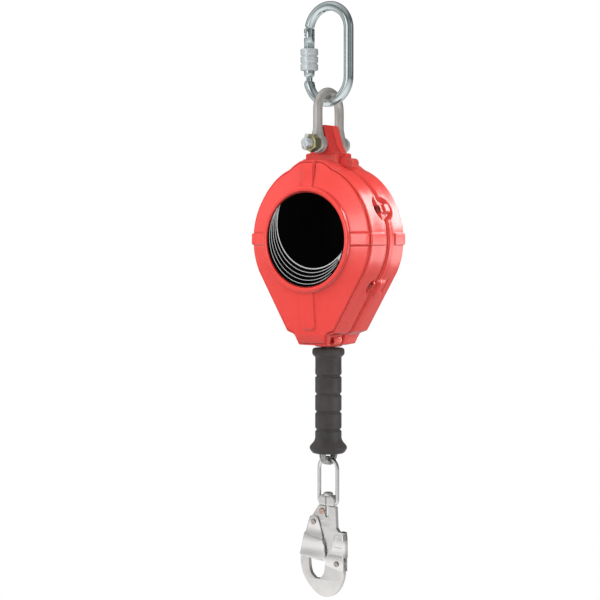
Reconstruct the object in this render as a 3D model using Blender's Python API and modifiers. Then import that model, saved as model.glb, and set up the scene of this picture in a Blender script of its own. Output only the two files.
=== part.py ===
"""Self retracting lifeline: a wire-rope fall arrester with its carabiner, shackle, casing, drum,
brake, hand grip, swivel link and snap hook.

Metres, +Z up; every size below is in mm and is scaled by MM on the way into Blender. The origin is
the bearing point of the anchor carabiner, on the inside of its top bow. The front of the casing
faces -Y, left is -X, and the drum shaft lies along Y.
"""
import math
from collections import namedtuple

import bmesh
import bpy
from mathutils import Matrix, Vector

MM = 0.001

# ---------------------------------------------------------------- dimensions shared by sections
DRUM_Z = -235.0        # height of the drum centre
GAP = 0.3              # clearance between neighbouring pieces
PIN_Z = -137.0         # shackle bolt, which carries the lug block
PIN_R = 4.8
SHAFT_R = 8.0
ROPE_R = 2.4
FRAME_BOLT_R = 2.8
BRAKE_BOLT_R = 2.0

# ---------------------------------------------------------------- scene and materials
for old in list(bpy.data.objects):
    bpy.data.objects.remove(old, do_unlink=True)

PARTS = bpy.data.collections.new("self_retracting_lifeline")
CUTTERS = bpy.data.collections.new("cutters")
bpy.context.scene.collection.children.link(PARTS)
bpy.context.scene.collection.children.link(CUTTERS)


def material(name, color, roughness, metallic=1.0):
    mat = bpy.data.materials.new(name)
    mat.use_nodes = True
    inputs = mat.node_tree.nodes["Principled BSDF"].inputs
    inputs["Base Color"].default_value = (*color, 1.0)
    inputs["Roughness"].default_value = roughness
    inputs["Metallic"].default_value = metallic
    return mat


RED = material("red_shell", color=(0.72, 0.03, 0.025), roughness=0.42, metallic=0.0)
BLACK = material("black_plate", color=(0.012, 0.012, 0.013), roughness=0.15, metallic=0.0)
RUBBER = material("grip_rubber", color=(0.035, 0.033, 0.032), roughness=0.6, metallic=0.0)
NYLON = material("black_nylon", color=(0.03, 0.03, 0.03), roughness=0.5, metallic=0.0)
LINING = material("brake_lining", color=(0.16, 0.12, 0.09), roughness=0.8, metallic=0.0)
ZINC = material("bright_zinc", color=(0.72, 0.75, 0.78), roughness=0.2)
SATIN = material("satin_steel", color=(0.62, 0.60, 0.57), roughness=0.38)
STAMPED = material("stamped_steel", color=(0.70, 0.69, 0.68), roughness=0.35)
YELLOW = material("yellow_zinc", color=(0.70, 0.60, 0.33), roughness=0.3)
COPPER = material("copper_rivet", color=(0.62, 0.42, 0.33), roughness=0.35)
STEEL = material("machined_steel", color=(0.55, 0.55, 0.56), roughness=0.35)
DRUM = material("drum_alloy", color=(0.62, 0.63, 0.65), roughness=0.4)
BRONZE = material("bush_bronze", color=(0.60, 0.42, 0.20), roughness=0.35)
ROPE = material("wire_rope", color=(0.55, 0.56, 0.57), roughness=0.4)
BLACKENED = material("blackened_steel", color=(0.03, 0.03, 0.032), roughness=0.4)


# ---------------------------------------------------------------- points
def arc(u, v, radius, start, end, count):
    """count + 1 points on an arc; degrees from the first axis towards the second."""
    return [(u + radius * math.cos(math.radians(start + (end - start) * i / count)),
             v + radius * math.sin(math.radians(start + (end - start) * i / count)))
            for i in range(count + 1)]


def circle(x, z, radius, count, start=0.0):
    """count points round a circle; start is in radians."""
    return [(x + radius * math.cos(start + 2 * math.pi * i / count),
             z + radius * math.sin(start + 2 * math.pi * i / count)) for i in range(count)]


def drum_circle(radius, count):
    return circle(0, DRUM_Z, radius, count)


def from_drum(points):
    """Move (x, z) points measured from the drum centre to their place."""
    return [(x, DRUM_Z + z) for x, z in points]


def in_xz(points):
    return [(x, 0, z) for x, z in points]


def in_yz(points):
    return [(0, y, z) for y, z in points]


# ---------------------------------------------------------------- solids
def place(obj, mat, collection=PARTS):
    """Link an object, give it its material, and mark cutters."""
    collection.objects.link(obj)
    obj.data.materials.clear()
    obj.data.materials.append(mat)
    if collection is CUTTERS:
        obj.hide_render = True
        obj.display_type = "WIRE"
    return obj


def shade(mesh, sharp_degrees):
    mesh.shade_smooth()
    mesh.set_sharp_from_angle(angle=math.radians(sharp_degrees))


def from_bmesh(name, bm, mat, collection=PARTS, smooth=True):
    mesh = bpy.data.meshes.new(name)
    bmesh.ops.recalc_face_normals(bm, faces=bm.faces[:])
    bm.to_mesh(mesh)
    bm.free()
    obj = place(bpy.data.objects.new(name, mesh), mat, collection)
    if smooth:
        shade(mesh, 30)
    return obj


# Rotations that turn local Z onto the named axis
AXES = {
    "Z": Matrix.Identity(4),
    "Y": Matrix.Rotation(-math.pi / 2, 4, "X"),
    "X": Matrix.Rotation(math.pi / 2, 4, "Y"),
}


def cyl(name, mat, radius, a, b, at, segments, axis="Y", collection=PARTS):
    """Cylinder along Y or Z from a to b. `at` holds the other two coordinates."""
    low, high = sorted((a, b))
    bm = bmesh.new()
    bmesh.ops.create_cone(bm, cap_ends=True, segments=segments, radius1=radius * MM,
                          radius2=radius * MM, depth=(high - low) * MM)
    obj = from_bmesh(name, bm, mat, collection)
    obj.rotation_euler = AXES[axis].to_euler()
    mid = (low + high) / 2
    centre = (at[0], mid, at[1]) if axis == "Y" else (at[0], at[1], mid)
    obj.location = Vector(centre) * MM
    return obj


def turned(name, mat, profile, at=(0, 0, 0), axis="Y", *, steps, closed=False):
    """Turned piece. The profile is (radius, height along the axis), outer side from high to low."""
    count = len(profile)
    edges = [(i, i + 1) for i in range(count - 1)]
    if closed:
        edges.append((count - 1, 0))
    mesh = bpy.data.meshes.new(name)
    mesh.from_pydata([(r * MM, 0, h * MM) for r, h in profile], edges, [])
    obj = place(bpy.data.objects.new(name, mesh), mat)
    screw = obj.modifiers.new("turn", "SCREW")
    screw.axis = "Z"
    screw.steps = screw.render_steps = steps
    screw.use_merge_vertices = True
    screw.merge_threshold = 0.00002
    screw.use_smooth_shade = True
    obj.rotation_euler = AXES[axis].to_euler()
    obj.location = Vector(at) * MM
    return obj


def tube(name, mat, outer, inner, low, high, steps, at=(0, 0, DRUM_Z), axis="Y"):
    """Turned ring of rectangular section, on the drum axis unless told otherwise."""
    profile = [(outer, high), (outer, low), (inner, low), (inner, high)]
    return turned(name, mat, profile, at, axis, steps=steps, closed=True)


def headed_pin(name, at, radius, tip, head_radius, seat, head_end, steps):
    """Steel pin along Y at (x, z), with a flat head at its front end."""
    turned(name, STEEL,
           [(0, tip), (radius, tip), (radius, seat),
            (head_radius, seat), (head_radius, head_end), (0, head_end)],
           (at[0], 0, at[1]), steps=steps)


def box(name, mat, low, high, collection=PARTS):
    bm = bmesh.new()
    bmesh.ops.create_cube(bm, size=1.0)
    size = Vector([h - l for l, h in zip(low, high)]) * MM
    bmesh.ops.scale(bm, vec=size, verts=bm.verts)
    obj = from_bmesh(name, bm, mat, collection, smooth=False)
    obj.location = Vector([(l + h) / 2 for l, h in zip(low, high)]) * MM
    return obj


def plate(name, mat, outline, y0, y1, holes=(), collection=PARTS, origin=(0, 0)):
    """Flat plate standing in the XZ plane between y0 and y1, from an outline and holes."""
    curve = bpy.data.curves.new(name, "CURVE")
    curve.dimensions = "2D"
    curve.fill_mode = "BOTH"
    curve.extrude = abs(y1 - y0) / 2 * MM
    for loop in [outline, *holes]:
        spline = curve.splines.new("POLY")
        spline.points.add(len(loop) - 1)
        for point, (x, z) in zip(spline.points, loop):
            point.co = ((x - origin[0]) * MM, (z - origin[1]) * MM, 0, 1)
        spline.use_cyclic_u = True
    obj = place(bpy.data.objects.new(name, curve), mat, collection)
    obj.rotation_euler = (math.pi / 2, 0, 0)
    obj.location = Vector((origin[0], (y0 + y1) / 2, origin[1])) * MM
    return obj


def rod(name, mat, points, radius, resolution=2):
    """Round rod along points, as a bevelled curve with filled caps."""
    curve = bpy.data.curves.new(name, "CURVE")
    curve.dimensions = "3D"
    curve.bevel_depth = radius * MM
    curve.bevel_resolution = resolution
    curve.use_fill_caps = True
    curve.twist_mode = "MINIMUM"
    spline = curve.splines.new("POLY")
    spline.points.add(len(points) - 1)
    for point, co in zip(spline.points, points):
        point.co = (*(Vector(co) * MM), 1)
    return place(bpy.data.objects.new(name, curve), mat)


def meshed(obj):
    """Turn a curve object into a welded mesh object with the same name, place and material."""
    bpy.context.view_layer.update()
    depsgraph = bpy.context.evaluated_depsgraph_get()
    name = obj.name
    mat = obj.data.materials[0]
    collection = obj.users_collection[0]
    mesh = bpy.data.meshes.new_from_object(obj.evaluated_get(depsgraph))
    bm = bmesh.new()
    bm.from_mesh(mesh)
    bmesh.ops.remove_doubles(bm, verts=bm.verts, dist=0.00002)
    bmesh.ops.recalc_face_normals(bm, faces=bm.faces[:])
    bm.to_mesh(mesh)
    bm.free()
    world = obj.matrix_world.copy()
    bpy.data.objects.remove(obj, do_unlink=True)
    new = place(bpy.data.objects.new(name, mesh), mat, collection)
    new.matrix_world = world
    shade(mesh, 35)
    return new


# ---------------------------------------------------------------- cutting and joining
CUT, JOIN = "DIFFERENCE", "UNION"


def boolean(obj, cutter, operation):
    modifier = obj.modifiers.new(operation.lower(), "BOOLEAN")
    modifier.operation = operation
    modifier.object = cutter
    modifier.solver = "EXACT"


def cut_cyl(obj, name, radius, a, b, at, segments, axis="Y"):
    boolean(obj, cyl(name, STEEL, radius, a, b, at, segments, axis, CUTTERS), CUT)


def join_cyl(obj, name, radius, a, b, at, segments):
    mat = obj.data.materials[0]
    boolean(obj, cyl(name, mat, radius, a, b, at, segments, collection=CUTTERS), JOIN)


def apply_box(obj, name, low, high, operation=CUT):
    boolean(obj, box(name, obj.data.materials[0], low, high, CUTTERS), operation)


def apply_plate(obj, name, outline, y0, y1, operation=CUT):
    mat = obj.data.materials[0]
    boolean(obj, meshed(plate(name, mat, outline, y0, y1, collection=CUTTERS)), operation)


# ---------------------------------------------------------------- casing
CASE_R = 75.8          # round part of the outline
FACE_Y = 29.5          # where the face meets the side wall
RING_R = 54.5          # raised ring round the label plate
LABEL_R = 49.0
POCKET_R = 4.7         # half width of the pockets that open sideways
SCREW_R, SCREW_HOLE_R, SCREW_HEAD_R = 2.0, 2.35, 3.9

# Screws on the right side; the left side mirrors them. x and z are from the drum centre, the other
# lengths are |Y|: boss depth, seat under the head, end of the pocket round the head, and how far
# the thread reaches into the other half. head_side is the side the head faces (+1 rear, -1 front).
# open_deg is the direction in which a side pocket opens, radial where it is not given.
Screw = namedtuple("Screw", "x z boss_x boss_z boss_r boss_depth seat pocket_end reach head_side "
                   "pocket open_deg", defaults=(None,))
CASE_SCREWS = [
    Screw(24.0, 78.2, 24.0, 78.2, 5.4, 9.1, 8.9, 13.6, 6.2, 1, "round"),
    Screw(63.9, 30.0, 63.4, 29.7, 7.4, 20.5, 5.4, 17.6, 10.2, -1, "side"),
    Screw(54.9, -45.0, 53.6, -44.4, 6.2, 20.5, 5.4, 17.6, 10.2, -1, "side", -31.2),
    Screw(15.6, -103.0, 13.0, -100.5, 7.0, 27.4, 5.4, 31.5, 10.2, -1, "corner"),
]

# (x, z) from the drum centre: lug on top of each half, and the cavity for the steel lug block
CASE_LUG = [(-20.5, 76.2), (20.5, 76.2), (20.5, 88.7), (14.6, 88.7), (3.0, 117.4), (-3.0, 117.4),
            (-14.6, 88.7), (-20.5, 88.7)]
BLOCK_CAVITY = [(-16.9, 58.0), (16.9, 58.0), (16.9, 71.9), (8.4, 75.4), (8.4, 100.2), (4.2, 106.4),
                (-4.2, 106.4), (-8.4, 100.2), (-8.4, 75.4), (-16.9, 71.9)]


def case_outline():
    """Closed outline of the casing, as (x, z) from the drum centre."""
    half = [(0, 81.0), (15.5, 81.0), (20.3, 76.8)]
    half += arc(0, 0, CASE_R, 74.0, -26.5, 10)
    x0, z0 = half[-1]
    for t in (0.25, 0.5, 0.75, 1.0):   # straight flank down to the corner
        half.append((x0 + (31.0 - x0) * t, z0 + (-94.6 - z0) * t))
    half += [(22.0, -97.8), (18.6, -107.8), (0, -107.8)]
    return half + [(-x, z) for x, z in reversed(half[1:-1])]


def shell_body(name, side):
    """Hollow shell of one casing half, as rows of points from the joint out, over and back in."""
    outline = case_outline()
    count = len(outline)

    def inset(d):
        return [(x * (1 - d / math.hypot(x, z)), z * (1 - d / math.hypot(x, z)))
                for x, z in outline]

    def ring(r):
        return [(x * r / math.hypot(x, z), z * r / math.hypot(x, z)) for x, z in outline]

    def midway(first, second):
        return [(p[0] + (q[0] - p[0]) * 0.5, p[1] + (q[1] - p[1]) * 0.5)
                for p, q in zip(first, second)]

    # (points, |Y|)
    outer = [
        (inset(2.6), 0.15), (inset(2.6), 3.5), (inset(0.3), 9.0), (inset(0.0), 27.0),
        (inset(1.3), FACE_Y), (midway(inset(1.3), ring(58.5)), 32.6), (ring(58.5), 35.6),
        (ring(RING_R), 39.6), (ring(52.8), 40.5), (ring(50.7), 40.5), (ring(50.0), 37.9),
    ]
    inner = [(ring(56.0), 32.6), (inset(4.5), 26.0), (inset(3.6), 9.5), (inset(5.6), 4.5),
             (inset(5.6), 0.15)]
    bm = bmesh.new()

    def vertex(x, y, z):
        return bm.verts.new((x * MM, side * y * MM, (DRUM_Z + z) * MM))

    outer_rows = [[vertex(x, y, z) for x, z in points] for points, y in outer]
    face_centre = vertex(0, 37.9, 0)
    inner_centre = vertex(0, 34.6, 0)
    inner_rows = [[vertex(x, y, z) for x, z in points] for points, y in inner]
    for rows in (outer_rows, inner_rows):
        for a, b in zip(rows, rows[1:]):
            for i in range(count):
                j = (i + 1) % count
                bm.faces.new((a[i], a[j], b[j], b[i]))
    rim_out, rim_in = outer_rows[0], inner_rows[-1]
    for i in range(count):
        j = (i + 1) % count
        bm.faces.new((outer_rows[-1][i], outer_rows[-1][j], face_centre))
        bm.faces.new((inner_rows[0][j], inner_rows[0][i], inner_centre))
        bm.faces.new((rim_in[i], rim_in[j], rim_out[j], rim_out[i]))
    return from_bmesh(name, bm, RED)


def cut_head_pocket(obj, tag, screw, side, mirror):
    """Pocket round the head of one screw."""
    y0, y1 = side * screw.seat, side * screw.pocket_end
    if screw.pocket == "round":
        cut_cyl(obj, tag, 4.3, y0, y1, (mirror * screw.x, DRUM_Z + screw.z), 12)
    elif screw.pocket == "side":   # round inside the wall, open towards the side
        open_deg = screw.open_deg
        if open_deg is None:
            open_deg = math.degrees(math.atan2(screw.z, screw.x))
        slot = arc(screw.x, screw.z, POCKET_R, open_deg + 90, open_deg + 270, 6)
        dx = 18.0 * math.cos(math.radians(open_deg))
        dz = 18.0 * math.sin(math.radians(open_deg))
        slot += [(slot[-1][0] + dx, slot[-1][1] + dz), (slot[0][0] + dx, slot[0][1] + dz)]
        apply_plate(obj, tag, from_drum([(mirror * x, z) for x, z in slot]), y0, y1)
    else:                          # open through the bottom corner and the face
        x0, x1 = sorted((mirror * (screw.x - 4.8), mirror * (screw.x + 11.3)))
        z = DRUM_Z + screw.z
        apply_box(obj, tag, (x0, y1, z - 11.0), (x1, y0, z + 4.3))


def shell(name, side):
    """One casing half. side is -1 for the front half and +1 for the rear half."""
    obj = shell_body(name, side)
    apply_plate(obj, f"cut_{name}_lug", from_drum(CASE_LUG), side * 0.25, side * 13.2, JOIN)
    screws = [(f"cut_{name}_{k}{letter}", k, screw, mirror)
              for k, screw in enumerate(CASE_SCREWS) for letter, mirror in (("l", -1), ("r", 1))]
    for tag, k, screw, mirror in screws:
        depth = screw.boss_depth if side < 0 else min(screw.boss_depth, 13.0)
        # staggered starts keep the boss ends out of one plane
        join_cyl(obj, f"{tag}_boss", screw.boss_r, side * (0.4 + 0.06 * k), side * depth,
                 (mirror * screw.boss_x, DRUM_Z + screw.boss_z), 12)
    apply_plate(obj, f"cut_{name}_pocket", from_drum(BLOCK_CAVITY), -10.15, 10.15)
    cut_cyl(obj, f"cut_{name}_pin", 5.4, -20, 20, (0, PIN_Z), 14)
    cut_cyl(obj, f"cut_{name}_outlet", 10.0, DRUM_Z - 112, DRUM_Z - 92, (0, 0), 16, axis="Z")
    for tag, k, screw, mirror in screws:
        has_head = side == screw.head_side
        # through to the head seat, or a blind hole for the thread
        hole_end = screw.seat + 2.0 if has_head else screw.reach + 0.4
        cut_cyl(obj, f"{tag}_hole", SCREW_HOLE_R, -side, side * hole_end,
                (mirror * screw.x, DRUM_Z + screw.z), 8)
        if has_head:
            cut_head_pocket(obj, f"{tag}_pocket", screw, side, mirror)


def case_screws():
    for k, screw in enumerate(CASE_SCREWS):
        y0 = screw.seat + GAP
        profile = [(0, y0 + 3.2), (2.6, y0 + 3.2), (SCREW_HEAD_R, y0 + 2.4), (SCREW_HEAD_R, y0),
                   (SCREW_R, y0), (SCREW_R, -screw.reach), (0, -screw.reach)]
        if screw.head_side < 0:
            profile = [(r, -h) for r, h in reversed(profile)]
        for label, mirror in (("left", -1), ("right", 1)):
            turned(f"case_screw_{k + 1}_{label}", BLACKENED, profile,
                   (mirror * screw.x, 0, DRUM_Z + screw.z), steps=8)


for label, side in (("front", -1), ("rear", 1)):
    shell(f"{label}_shell", side)
    cyl(f"{label}_plate", BLACK, LABEL_R, side * 38.2, side * 39.7, (0, DRUM_Z), 48)
case_screws()

# ---------------------------------------------------------------- frame inside the casing
FRAME_HALF_W = 16.5
FRAME_TOP = 73.5       # above the drum centre
FRAME_BOLTS = from_drum([(-11.0, 67.5), (11.0, 67.5)])
BRAKE_BOLTS = from_drum([(58.5 * math.cos(math.radians(a)), 58.5 * math.sin(math.radians(a)))
                         for a in (30, 150, 270)])
LUG_BLOCK = [(-16.5, 62.6), (16.5, 62.6), (16.5, 71.5), (8.0, 75.0), (8.0, 100.0), (4.0, 106.0),
             (-4.0, 106.0), (-8.0, 100.0), (-8.0, 75.0), (-16.5, 71.5)]   # from the drum centre

shaft_hole = drum_circle(SHAFT_R + GAP, 24)
frame_bolt_holes = [circle(x, z, FRAME_BOLT_R + GAP, 12) for x, z in FRAME_BOLTS]
brake_bolt_holes = [circle(x, z, BRAKE_BOLT_R + GAP, 10) for x, z in BRAKE_BOLTS]


def frame_outline(radius):
    """Straight-sided neck above a round plate of the given radius."""
    neck_deg = math.degrees(math.acos(FRAME_HALF_W / radius))
    top = DRUM_Z + FRAME_TOP
    return ([(FRAME_HALF_W, top), (-FRAME_HALF_W, top)]
            + arc(0, DRUM_Z, radius, 180 - neck_deg, 360 + neck_deg, 28))


plate("lug_block", STEEL, from_drum(LUG_BLOCK), -9.8, 9.8,
      [circle(0, PIN_Z, 5.15, 24)] + frame_bolt_holes)
plate("front_frame_plate", STEEL, frame_outline(62.0), -23.4, -21.2,
      [shaft_hole] + frame_bolt_holes + brake_bolt_holes)
plate("rear_frame_plate", STEEL, frame_outline(34.0), 22.7, 24.9, [shaft_hole] + frame_bolt_holes)
for label, at in zip(("left", "right"), FRAME_BOLTS):
    headed_pin(f"frame_bolt_{label}", at, FRAME_BOLT_R, tip=26.6, head_radius=4.6, seat=-23.7,
               head_end=-25.9, steps=12)
cyl("main_shaft", STEEL, SHAFT_R, -30.0, 31.0, (0, DRUM_Z), 24)
for label, y0, y1 in (("front", -29.2, -23.7), ("rear", 25.2, 30.6)):
    plate(f"shaft_nut_{label}", STEEL, drum_circle(13.0, 6), y0, y1, [shaft_hole])

# ---------------------------------------------------------------- brake
TEETH = 12
TOOTH_TIP_R, TOOTH_ROOT_R, RATCHET_R = 44.0, 49.0, 55.0
# corners of one inner tooth: (degrees clockwise from its start, radius)
TOOTH = [(0, TOOTH_TIP_R), (4.5, TOOTH_TIP_R), (10.0, TOOTH_ROOT_R), (29.0, TOOTH_ROOT_R)]
FIRST_TOOTH_DEG = 19.5   # clockwise from the top, seen from the front


def ratchet_teeth():
    points = []
    for i in range(TEETH):
        for offset, radius in TOOTH:
            a = math.radians(90 - (FIRST_TOOTH_DEG + i * 360.0 / TEETH + offset))
            points.append((radius * math.cos(a), DRUM_Z + radius * math.sin(a)))
    return points


plate("ratchet_ring", STEEL, drum_circle(RATCHET_R, 36), -19.1, -14.9, [ratchet_teeth()])
for label, y0, y1 in (("front", -20.9, -19.4), ("rear", -14.6, -13.1)):
    plate(f"brake_lining_{label}", LINING, drum_circle(54.7, 28), y0, y1, [drum_circle(49.6, 28)])
plate("brake_pressure_ring", STEEL, drum_circle(61.8, 32), -12.8, -11.3,
      [drum_circle(49.3, 28)] + brake_bolt_holes)
for i, at in enumerate(BRAKE_BOLTS):
    headed_pin(f"brake_bolt_{i + 1}", at, BRAKE_BOLT_R, tip=-10.9, head_radius=3.6, seat=-23.7,
               head_end=-25.4, steps=10)

# ---------------------------------------------------------------- drum, spring and pawls
CORE_R, SPRING_CAVITY_R = 26.0, 23.3
FLANGE_R = 60.0
HUB_R = 41.0           # boss on the front flange that carries the pawls
PACK_R = 57.5          # outside of the wound cable
BUSH_R, BUSH_SEAT_R = 10.0, 10.4
PAWL_PIVOT_R = 28.0
PAWL_PIN_R = 2.4
# (x, z) from the pivot
PAWL = [(-4.2, -3.4), (-4.6, 1.5), (-2.5, 4.4), (3.0, 5.5), (15.1, 10.9), (17.6, 9.2), (16.9, 5.0),
        (5.0, -4.0), (0.5, -4.6)]
PAWLS = (("a", 1), ("b", -1))   # name, and +1 above or -1 below the shaft

drum = turned("drum", DRUM,
              [(FLANGE_R, 21.6), (FLANGE_R, 19.9), (CORE_R, 19.9), (CORE_R, -8.2),
               (FLANGE_R, -8.2), (FLANGE_R, -9.9), (HUB_R, -9.9), (HUB_R, -14.3),
               (BUSH_SEAT_R, -14.3), (BUSH_SEAT_R, -4.6), (SPRING_CAVITY_R, -4.6),
               (SPRING_CAVITY_R, 21.6)],
              (0, 0, DRUM_Z), steps=28, closed=True)
for label, m in PAWLS:
    cut_cyl(drum, f"cut_drum_pin_{label}", PAWL_PIN_R + GAP, -15.0, -10.8,
            (0, DRUM_Z + m * PAWL_PIVOT_R), 12)
tube("wound_cable", ROPE, outer=PACK_R, inner=CORE_R + GAP, low=-7.8, high=19.5, steps=28)
tube("drum_bush_front", BRONZE, outer=BUSH_R, inner=SHAFT_R + GAP, low=-14.0, high=-4.9, steps=18)
tube("spring_cover", STEEL, outer=22.9, inner=BUSH_SEAT_R, low=19.4, high=21.2, steps=24)
tube("drum_bush_rear", BRONZE, outer=BUSH_R, inner=SHAFT_R + GAP, low=18.8, high=21.2, steps=18)


def spiral(start_r, end_r, turns, thickness, per_turn=12):
    """Closed outline of a flat spiral strip, from the shaft out to the drum core."""
    count = int(turns * per_turn)
    middle = [(start_r + (end_r - start_r) * i / count, 2 * math.pi * turns * i / count)
              for i in range(count + 1)]

    def edge(offset):
        return [((r + offset) * math.cos(a), DRUM_Z + (r + offset) * math.sin(a))
                for r, a in middle]

    return edge(thickness / 2) + edge(-thickness / 2)[::-1]


plate("power_spring", STEEL, spiral(start_r=11.2, end_r=22.2, turns=4.5, thickness=0.7), -4.0, 18.2)

for label, m in PAWLS:
    pivot = (0, DRUM_Z + m * PAWL_PIVOT_R)
    plate(f"pawl_{label}", STEEL, [(pivot[0] + m * x, pivot[1] + m * z) for x, z in PAWL],
          -18.9, -15.1, [circle(*pivot, PAWL_PIN_R + GAP, 12)], origin=pivot)
    headed_pin(f"pawl_pin_{label}", pivot, PAWL_PIN_R, tip=-11.1, head_radius=3.4, seat=-19.2,
               head_end=-20.2, steps=12)

# ---------------------------------------------------------------- cable outlet
turned("cable_outlet_bush", NYLON,
       [(r, DRUM_Z + h) for r, h in (
           (9.7, -95.0), (9.7, -108.2), (11.6, -108.2), (12.0, -109.8), (4.6, -109.8),
           (3.2, -107.0), (3.2, -99.0), (5.0, -95.0))],
       axis="Z", steps=18, closed=True)


def cable_lead():
    """Cable from the outside of the pack down to the outlet."""
    radius = PACK_R + ROPE_R + 0.5
    # where a line from 94 mm below the drum centre touches the pack
    leave_deg = math.degrees(math.acos(radius / 94.0)) - 90.0
    points = []
    for i in range(3):
        a = math.radians(leave_deg + 16 - 8 * i)
        points.append((radius * math.cos(a), 6.0, DRUM_Z + radius * math.sin(a)))
    points += [(6.0, 0.8, DRUM_Z - 86.6), (1.6, 0.2, DRUM_Z - 93.0), (0, 0, DRUM_Z - 98.5),
               (0, 0, DRUM_Z - 106.6)]
    rod("cable_lead", ROPE, points, ROPE_R, resolution=1)


cable_lead()

# ---------------------------------------------------------------- shackle
SHACKLE_R = 4.8
SHACKLE_HALF_W = 18.7
SHACKLE_TOP = -83.4    # centre line at the top
SHACKLE_EYE_R = 9.5
SPLIT_PIN_Y = -38.4

leg = [(SHACKLE_HALF_W, -115.0), (SHACKLE_HALF_W, PIN_Z + 5.0)]   # (y, z) going down
bow = meshed(rod("shackle_bow", SATIN, in_yz(
    [(-y, z) for y, z in reversed(leg)]
    + arc(0, SHACKLE_TOP - SHACKLE_HALF_W, SHACKLE_HALF_W, 180, 0, 12) + leg), SHACKLE_R))
for label, side in (("front", -1), ("rear", 1)):
    join_cyl(bow, f"cut_shackle_eye_{label}", SHACKLE_EYE_R, side * 14.1, side * 23.4,
             (0, PIN_Z), 18)
cut_cyl(bow, "cut_shackle_bore", PIN_R + GAP, -30, 30, (0, PIN_Z), 14)

shackle_bolt = turned("shackle_bolt", ZINC,
                      [(0, 29.3), (8.2, 29.3), (8.2, 23.8), (PIN_R, 23.8), (PIN_R, -41.2),
                       (4.0, -42.2), (0, -42.2)],
                      (0, 0, PIN_Z), steps=20)
cut_cyl(shackle_bolt, "cut_cotter_hole", 1.4, PIN_Z - 8, PIN_Z + 8, (0, SPLIT_PIN_Y), 10, axis="Z")
plate("shackle_nut", YELLOW, circle(0, PIN_Z, 9.2, 6, math.pi / 6), -34.0, -24.6,
      [circle(0, PIN_Z, PIN_R + GAP, 16)])
rod("split_pin", ZINC, [(0, SPLIT_PIN_Y, PIN_Z + 9.4), (0, SPLIT_PIN_Y, PIN_Z - 6.6),
                        (0, -36.6, PIN_Z - 8.2)], 1.1, resolution=1)

# ---------------------------------------------------------------- carabiner
CARA_ROD_R = 5.0
CARA_HALF_W = 25.0     # centre line, also the radius of both bows
CARA_TOP = 4.6         # centre line at the top bow
CARA_BOTTOM = -93.5    # centre line at the bottom bow
GATE_X, GATE_R = -24.7, 5.5
GATE_PIVOT = (-24.6, -73.0)
GATE_RIVET_R = 1.7
TONGUE_Y, SLOT_Y = 1.7, 2.1   # half thickness of the tongues and of the slots they sit in
SLEEVE_R, SLEEVE_BORE = 9.25, 6.0
SLEEVE_Z0, SLEEVE_Z1 = -59.6, -37.5


def carabiner_body():
    top, bottom = CARA_TOP - CARA_HALF_W, CARA_BOTTOM + CARA_HALF_W   # centres of the bows
    path = (arc(0, top, CARA_HALF_W, 167, 90, 7) + arc(0, top, CARA_HALF_W, 79, 0, 7)
            + arc(0, bottom, CARA_HALF_W, 0, -90, 8) + arc(0, bottom, CARA_HALF_W, -101, -172, 6))
    body = meshed(rod("carabiner_body", ZINC, in_xz(path), CARA_ROD_R))
    # nose tab and its cross pin, joined to the upper end
    apply_box(body, "cut_cara_tab", (-28.4, -TONGUE_Y, -27.0), (-21.4, TONGUE_Y, -13.0), JOIN)
    join_cyl(body, "cut_cara_pin", 1.6, -4.2, 4.2, (-26.4, -23.4), 10)
    # fork and rivet bore at the hinge end, and the flat bearing face inside the top bow
    apply_box(body, "cut_cara_fork", (-32.0, -SLOT_Y, -80.5), (-17.0, SLOT_Y, -66.0))
    cut_cyl(body, "cut_cara_rivet", GATE_RIVET_R + GAP, -9, 9, GATE_PIVOT, 12)
    apply_box(body, "cut_cara_seat", (-6.0, -6.0, -3.0), (6.0, 6.0, 0.0))


def carabiner_gate():
    turned("gate_rivet", ZINC,
           [(0, 5.6), (GATE_RIVET_R, 5.6), (GATE_RIVET_R, -5.6), (0, -5.6)],
           (GATE_PIVOT[0], 0, GATE_PIVOT[1]), steps=12)
    gate = cyl("carabiner_gate", ZINC, GATE_R, -66.3, -16.4, (GATE_X, 0), 20, axis="Z")
    apply_box(gate, "cut_gate_tongue", (-27.6, -TONGUE_Y, -75.6), (-21.6, TONGUE_Y, -64.0), JOIN)
    # slot for the nose tab, and the notch for its cross pin
    apply_box(gate, "cut_gate_slot", (-31.0, -SLOT_Y, -28.4), (-19.0, SLOT_Y, -10.0))
    apply_box(gate, "cut_gate_notch", (-31.0, -6.0, -25.6), (-24.4, 6.0, -21.2))
    cut_cyl(gate, "cut_gate_bore", GATE_RIVET_R + GAP, -9, 9, GATE_PIVOT, 12)


def screw_sleeve():
    """Sleeve round the gate, in three bands with bevelled edges."""
    bevel = 0.9
    profile = []
    for top, bottom in ((SLEEVE_Z1, -44.0), (-45.2, -51.9), (-53.1, SLEEVE_Z0)):
        profile += [(SLEEVE_R - bevel, top), (SLEEVE_R, top - bevel),
                    (SLEEVE_R, bottom + bevel), (SLEEVE_R - bevel, bottom)]
    turned("screw_sleeve", ZINC, profile + [(SLEEVE_BORE, SLEEVE_Z0), (SLEEVE_BORE, SLEEVE_Z1)],
           (GATE_X, 0, 0), axis="Z", steps=18, closed=True)


carabiner_body()
carabiner_gate()
screw_sleeve()

# ---------------------------------------------------------------- rope, grip and eye
ROPE_TOP, ROPE_BOTTOM = -342.0, -431.0
GRIP_TOP, GRIP_BOTTOM = -347.0, -456.0
GRIP_GROOVES = (-376.0, -395.0, -413.5, -432.0)
EYE_Z = -456.5         # thimble centre


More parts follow.
